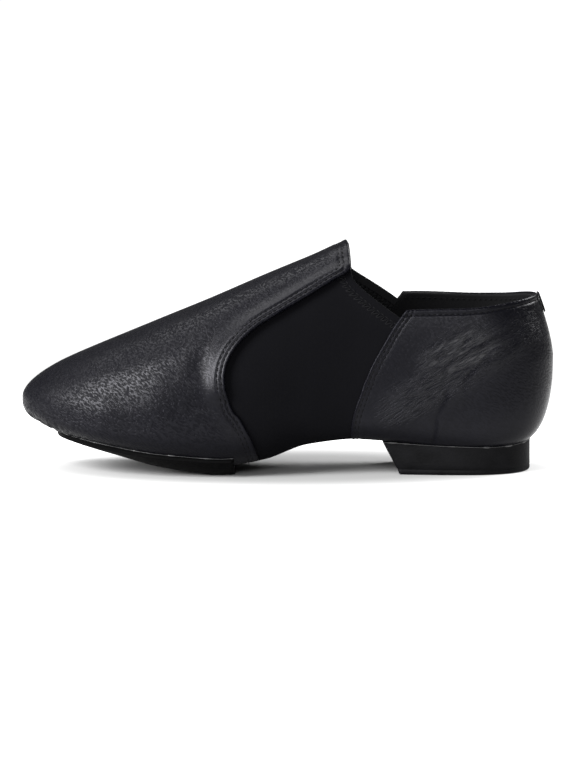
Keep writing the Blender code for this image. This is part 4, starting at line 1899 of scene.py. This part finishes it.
@dataclass
class HeelBlock:
    """Low rubber heel with a raked front and a rounded lower edge.

    side_rings has shares of the way up the side, and at each the share of the lift's groove.
    """

    pattern: Pattern
    front_top: float = 80.0
    front_bottom: float = 72.8
    gap: float = 0.4
    edge: float = 1.2
    edge_steps: int = 4
    side_rings: tuple[Pair, ...] = (
        (0.06, 0.0), (0.085, 1.0), (0.11, 1.0), (0.135, 0.0),
        (0.3, 0.0), (0.6, 0.0), (0.9, 0.0), (0.985, 0.0),
    )
    lift_groove: float = 0.35
    columns: int = 70
    rows: int = 20

    def build(self, finishes: Finishes) -> None:
        """Makes the heel: upright sides with a thin groove over the lift, and a round lower edge."""
        last = self.pattern.last
        inset = float(HEEL_INSET.read("inset", 0.0))
        stations = last.station(np.linspace(float(last.along(self.front_top)), 1.0, self.columns + 1))
        skin = Skin(last, [self.pattern.sole(stations, HEEL_INSET, self.rows)])
        back = last.length / 2.0 - inset
        rake = (self.front_bottom - inset) / (self.front_top - inset)
        half = (self.front_bottom - inset) / 2.0
        top = skin.points - (0.0, 0.0, self.gap)
        foot = np.stack((back + (top[:, 0] - back) * rake, top[:, 1], np.zeros(len(top))), axis=1)
        middle = np.array((back - half, 0.0, 0.0))

        def ring(angle: float) -> FloatArray:
            """The outline on the round of the lower edge, from 0 underneath to a right angle at the side."""
            shrink = 1.0 - self.edge * (1.0 - math.sin(angle)) / half
            return middle + (foot - middle) * shrink + (0.0, 0.0, self.edge * (1.0 - math.cos(angle)))

        rings = [ring(angle) for angle in np.linspace(0.0, np.pi / 2.0, self.edge_steps + 1)[1:]]
        low = rings[-1]
        for share, groove in self.side_rings:
            inner = middle + (low - middle) * (1.0 - groove * self.lift_groove / half)
            rings.append(np.where((True, True, False), inner, low) * (1.0 - share) + top * share)
        wall = skin.close(ring(0.0), top, rings)
        piece = new_piece("heel_rubber", wall.points, wall.faces, [finishes.rubber], Slot.RUBBER)
        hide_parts("heel")


@dataclass
class CementLine:
    """Uneven bead of dried cement where the leather meets the pad and the heel."""

    pattern: Pattern
    thin: float = 0.12
    thick: float = 0.5
    lump: float = 7.0
    lump_range: Pair = (0.1, 0.9)
    sink: float = 0.25
    columns: int = 260
    corners: int = 8

    def bead(self, front: float, back: float, inset: Table, seed: int) -> tuple[FloatArray, ...]:
        """Path, side vectors, up vectors and radii of the bead round the rim of one sole piece.

        Args:
            front: station of its first end on the outer side.
            back: station where it turns to the inner side.
            inset: how far the rim stays inside the outline, by station.
            seed: which lumps it has.

        Returns:
            The four arrays, for one tube.
        """
        last = self.pattern.last
        turns = np.linspace(float(last.along(front)), float(last.along(back)), self.columns + 1)
        net = self.pattern.sole(last.station(turns), inset, 1)
        path = last.points(Line(net.along[-1], net.level[-1], net.side[-1])) - (0.0, 0.0, self.sink)
        up = np.broadcast_to(np.array((0.0, 0.0, 1.0)), path.shape)
        side = unit(np.cross(up, np.gradient(path, axis=0)))
        lumps = ease(ripple(path, self.lump, seed), *self.lump_range)
        girth = self.thin + (self.thick - self.thin) * lumps
        return path[None], side[None], up[None], girth[None]

    def build(self, finishes: Finishes) -> None:
        """Makes one bead for the pad and one for the heel."""
        for name, front, back, inset, seed in (
            ("pad_cement", ForefootPad.rear, self.pattern.last.length, PAD_INSET, 5),
            ("heel_cement", HeelBlock.front_top, 0.0, HEEL_INSET, 6),
        ):
            points, faces = tubes(*self.bead(front, back, inset, seed), self.corners)
            new_piece(name, points, faces, [finishes.cement], Slot.RUBBER)


@dataclass
class Insole:
    """The insole, dressed in lining cloth."""

    def build(self, finishes: Finishes, frame: dict[str, Any]) -> None:
        """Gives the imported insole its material."""
        solid = frame["nodes"]["insole"]
        solid.data.materials.clear()
        solid.data.materials.append(finishes.lining)


@dataclass(frozen=True)
class Lamp:
    """A soft rectangular light that looks at the shoe: its place and size in metres, and watts."""

    name: str
    place: Triple
    size: Pair
    power: float
    aim: ClassVar[Triple] = (0.0, 0.0, 0.05)

    def build(self) -> None:
        """Makes the light."""
        lamp = bpy.data.lights.new(self.name, "AREA")
        lamp.shape = "RECTANGLE"
        lamp.energy = self.power
        lamp.size, lamp.size_y = self.size
        holder = bpy.data.objects.new(self.name, lamp)
        turn = (Vector(self.aim) - Vector(self.place)).to_track_quat("-Z", "Y")
        holder.matrix_world = Matrix.LocRotScale(Vector(self.place), turn, None)
        bpy.context.scene.collection.objects.link(holder)


@dataclass
class Studio:
    """Camera, lights and floor, with places in metres."""

    camera_place: Triple = (0.0006, -1.4827, 0.2269)
    pitch_deg: float = 7.19
    lens: float = 148.8
    sensor: float = 36.0
    clip_end: float = 500.0
    floor_half: float = 60.0
    world: float = 0.15
    lamps: tuple[Lamp, ...] = (
        Lamp("top", (-0.45, 0.25, 1.25), (0.8, 0.8), 12.0),
        Lamp("left", (-1.0, -0.7, 0.7), (0.6, 1.0), 64.0),
        Lamp("front", (0.1, -1.75, 0.75), (0.8, 0.4), 16.0),
        Lamp("right", (0.9, 0.6, 1.0), (0.7, 0.7), 29.0),
    )

    def build(self) -> None:
        """Makes the camera, the lights and the floor."""
        self.build_camera()
        for lamp in self.lamps:
            lamp.build()
        self.build_world()
        self.build_floor()

    def build_camera(self) -> None:
        """Makes the camera, level from side to side and pitched down at the shoe."""
        camera = bpy.data.cameras.new("camera")
        camera.lens = self.lens
        camera.sensor_width = self.sensor
        camera.clip_end = self.clip_end
        eye = bpy.data.objects.new("camera", camera)
        turn = Matrix.Rotation(math.radians(90.0 - self.pitch_deg), 4, "X")
        eye.matrix_world = Matrix.Translation(self.camera_place) @ turn
        bpy.context.scene.collection.objects.link(eye)
        bpy.context.scene.camera = eye

    def build_world(self) -> None:
        """Makes the even white light all round, and sets plain colours for the picture."""
        world = bpy.data.worlds.new("studio")
        world.use_nodes = True
        inputs = world.node_tree.nodes["Background"].inputs
        inputs["Color"].default_value = (1.0, 1.0, 1.0, 1.0)
        inputs["Strength"].default_value = self.world
        bpy.context.scene.world = world
        bpy.context.scene.view_settings.view_transform = "Standard"

    def build_floor(self) -> None:
        """Makes the floor, a wide square."""
        corners = np.array(((-1, -1, 0), (1, -1, 0), (1, 1, 0), (-1, 1, 0))) * self.floor_half
        mesh = bpy.data.meshes.new("floor")
        mesh.from_pydata(corners, [], [(0, 1, 2, 3)])
        mesh.materials.append(FloorFinish().build())
        floor = bpy.data.objects.new("floor", mesh)
        bpy.context.scene.collection.objects.link(floor)
        floor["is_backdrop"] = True


def main() -> None:
    """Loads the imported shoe, builds the pieces that stand for its solids, and sets up the studio."""
    logging.basicConfig(level=logging.INFO, format="%(message)s")
    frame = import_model()
    solid_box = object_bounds()
    pattern = Pattern()
    seams = Seams(pattern)
    finishes = Finishes()
    vamp = Vamp(pattern, seams)
    vamp.build(finishes)
    counter = HeelCounter(pattern, seams)
    counter.build(finishes)
    StretchUpper(pattern).build(finishes)
    CounterLining(pattern).build(finishes)
    BackTab(pattern).build(finishes)
    ForefootPad(pattern).build(finishes)
    HeelBlock(pattern).build(finishes)
    CementLine(pattern).build(finishes)
    Insole().build(finishes, frame)
    seams.build(finishes, vamp, counter)
    seams.build_hems(finishes)
    Studio().build()
    boxes = {"cad": solid_box, "visual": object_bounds()}
    {key: [list(map(float, corner)) for corner in box] for key, box in boxes.items()}


if __name__ == "__main__":
    main()
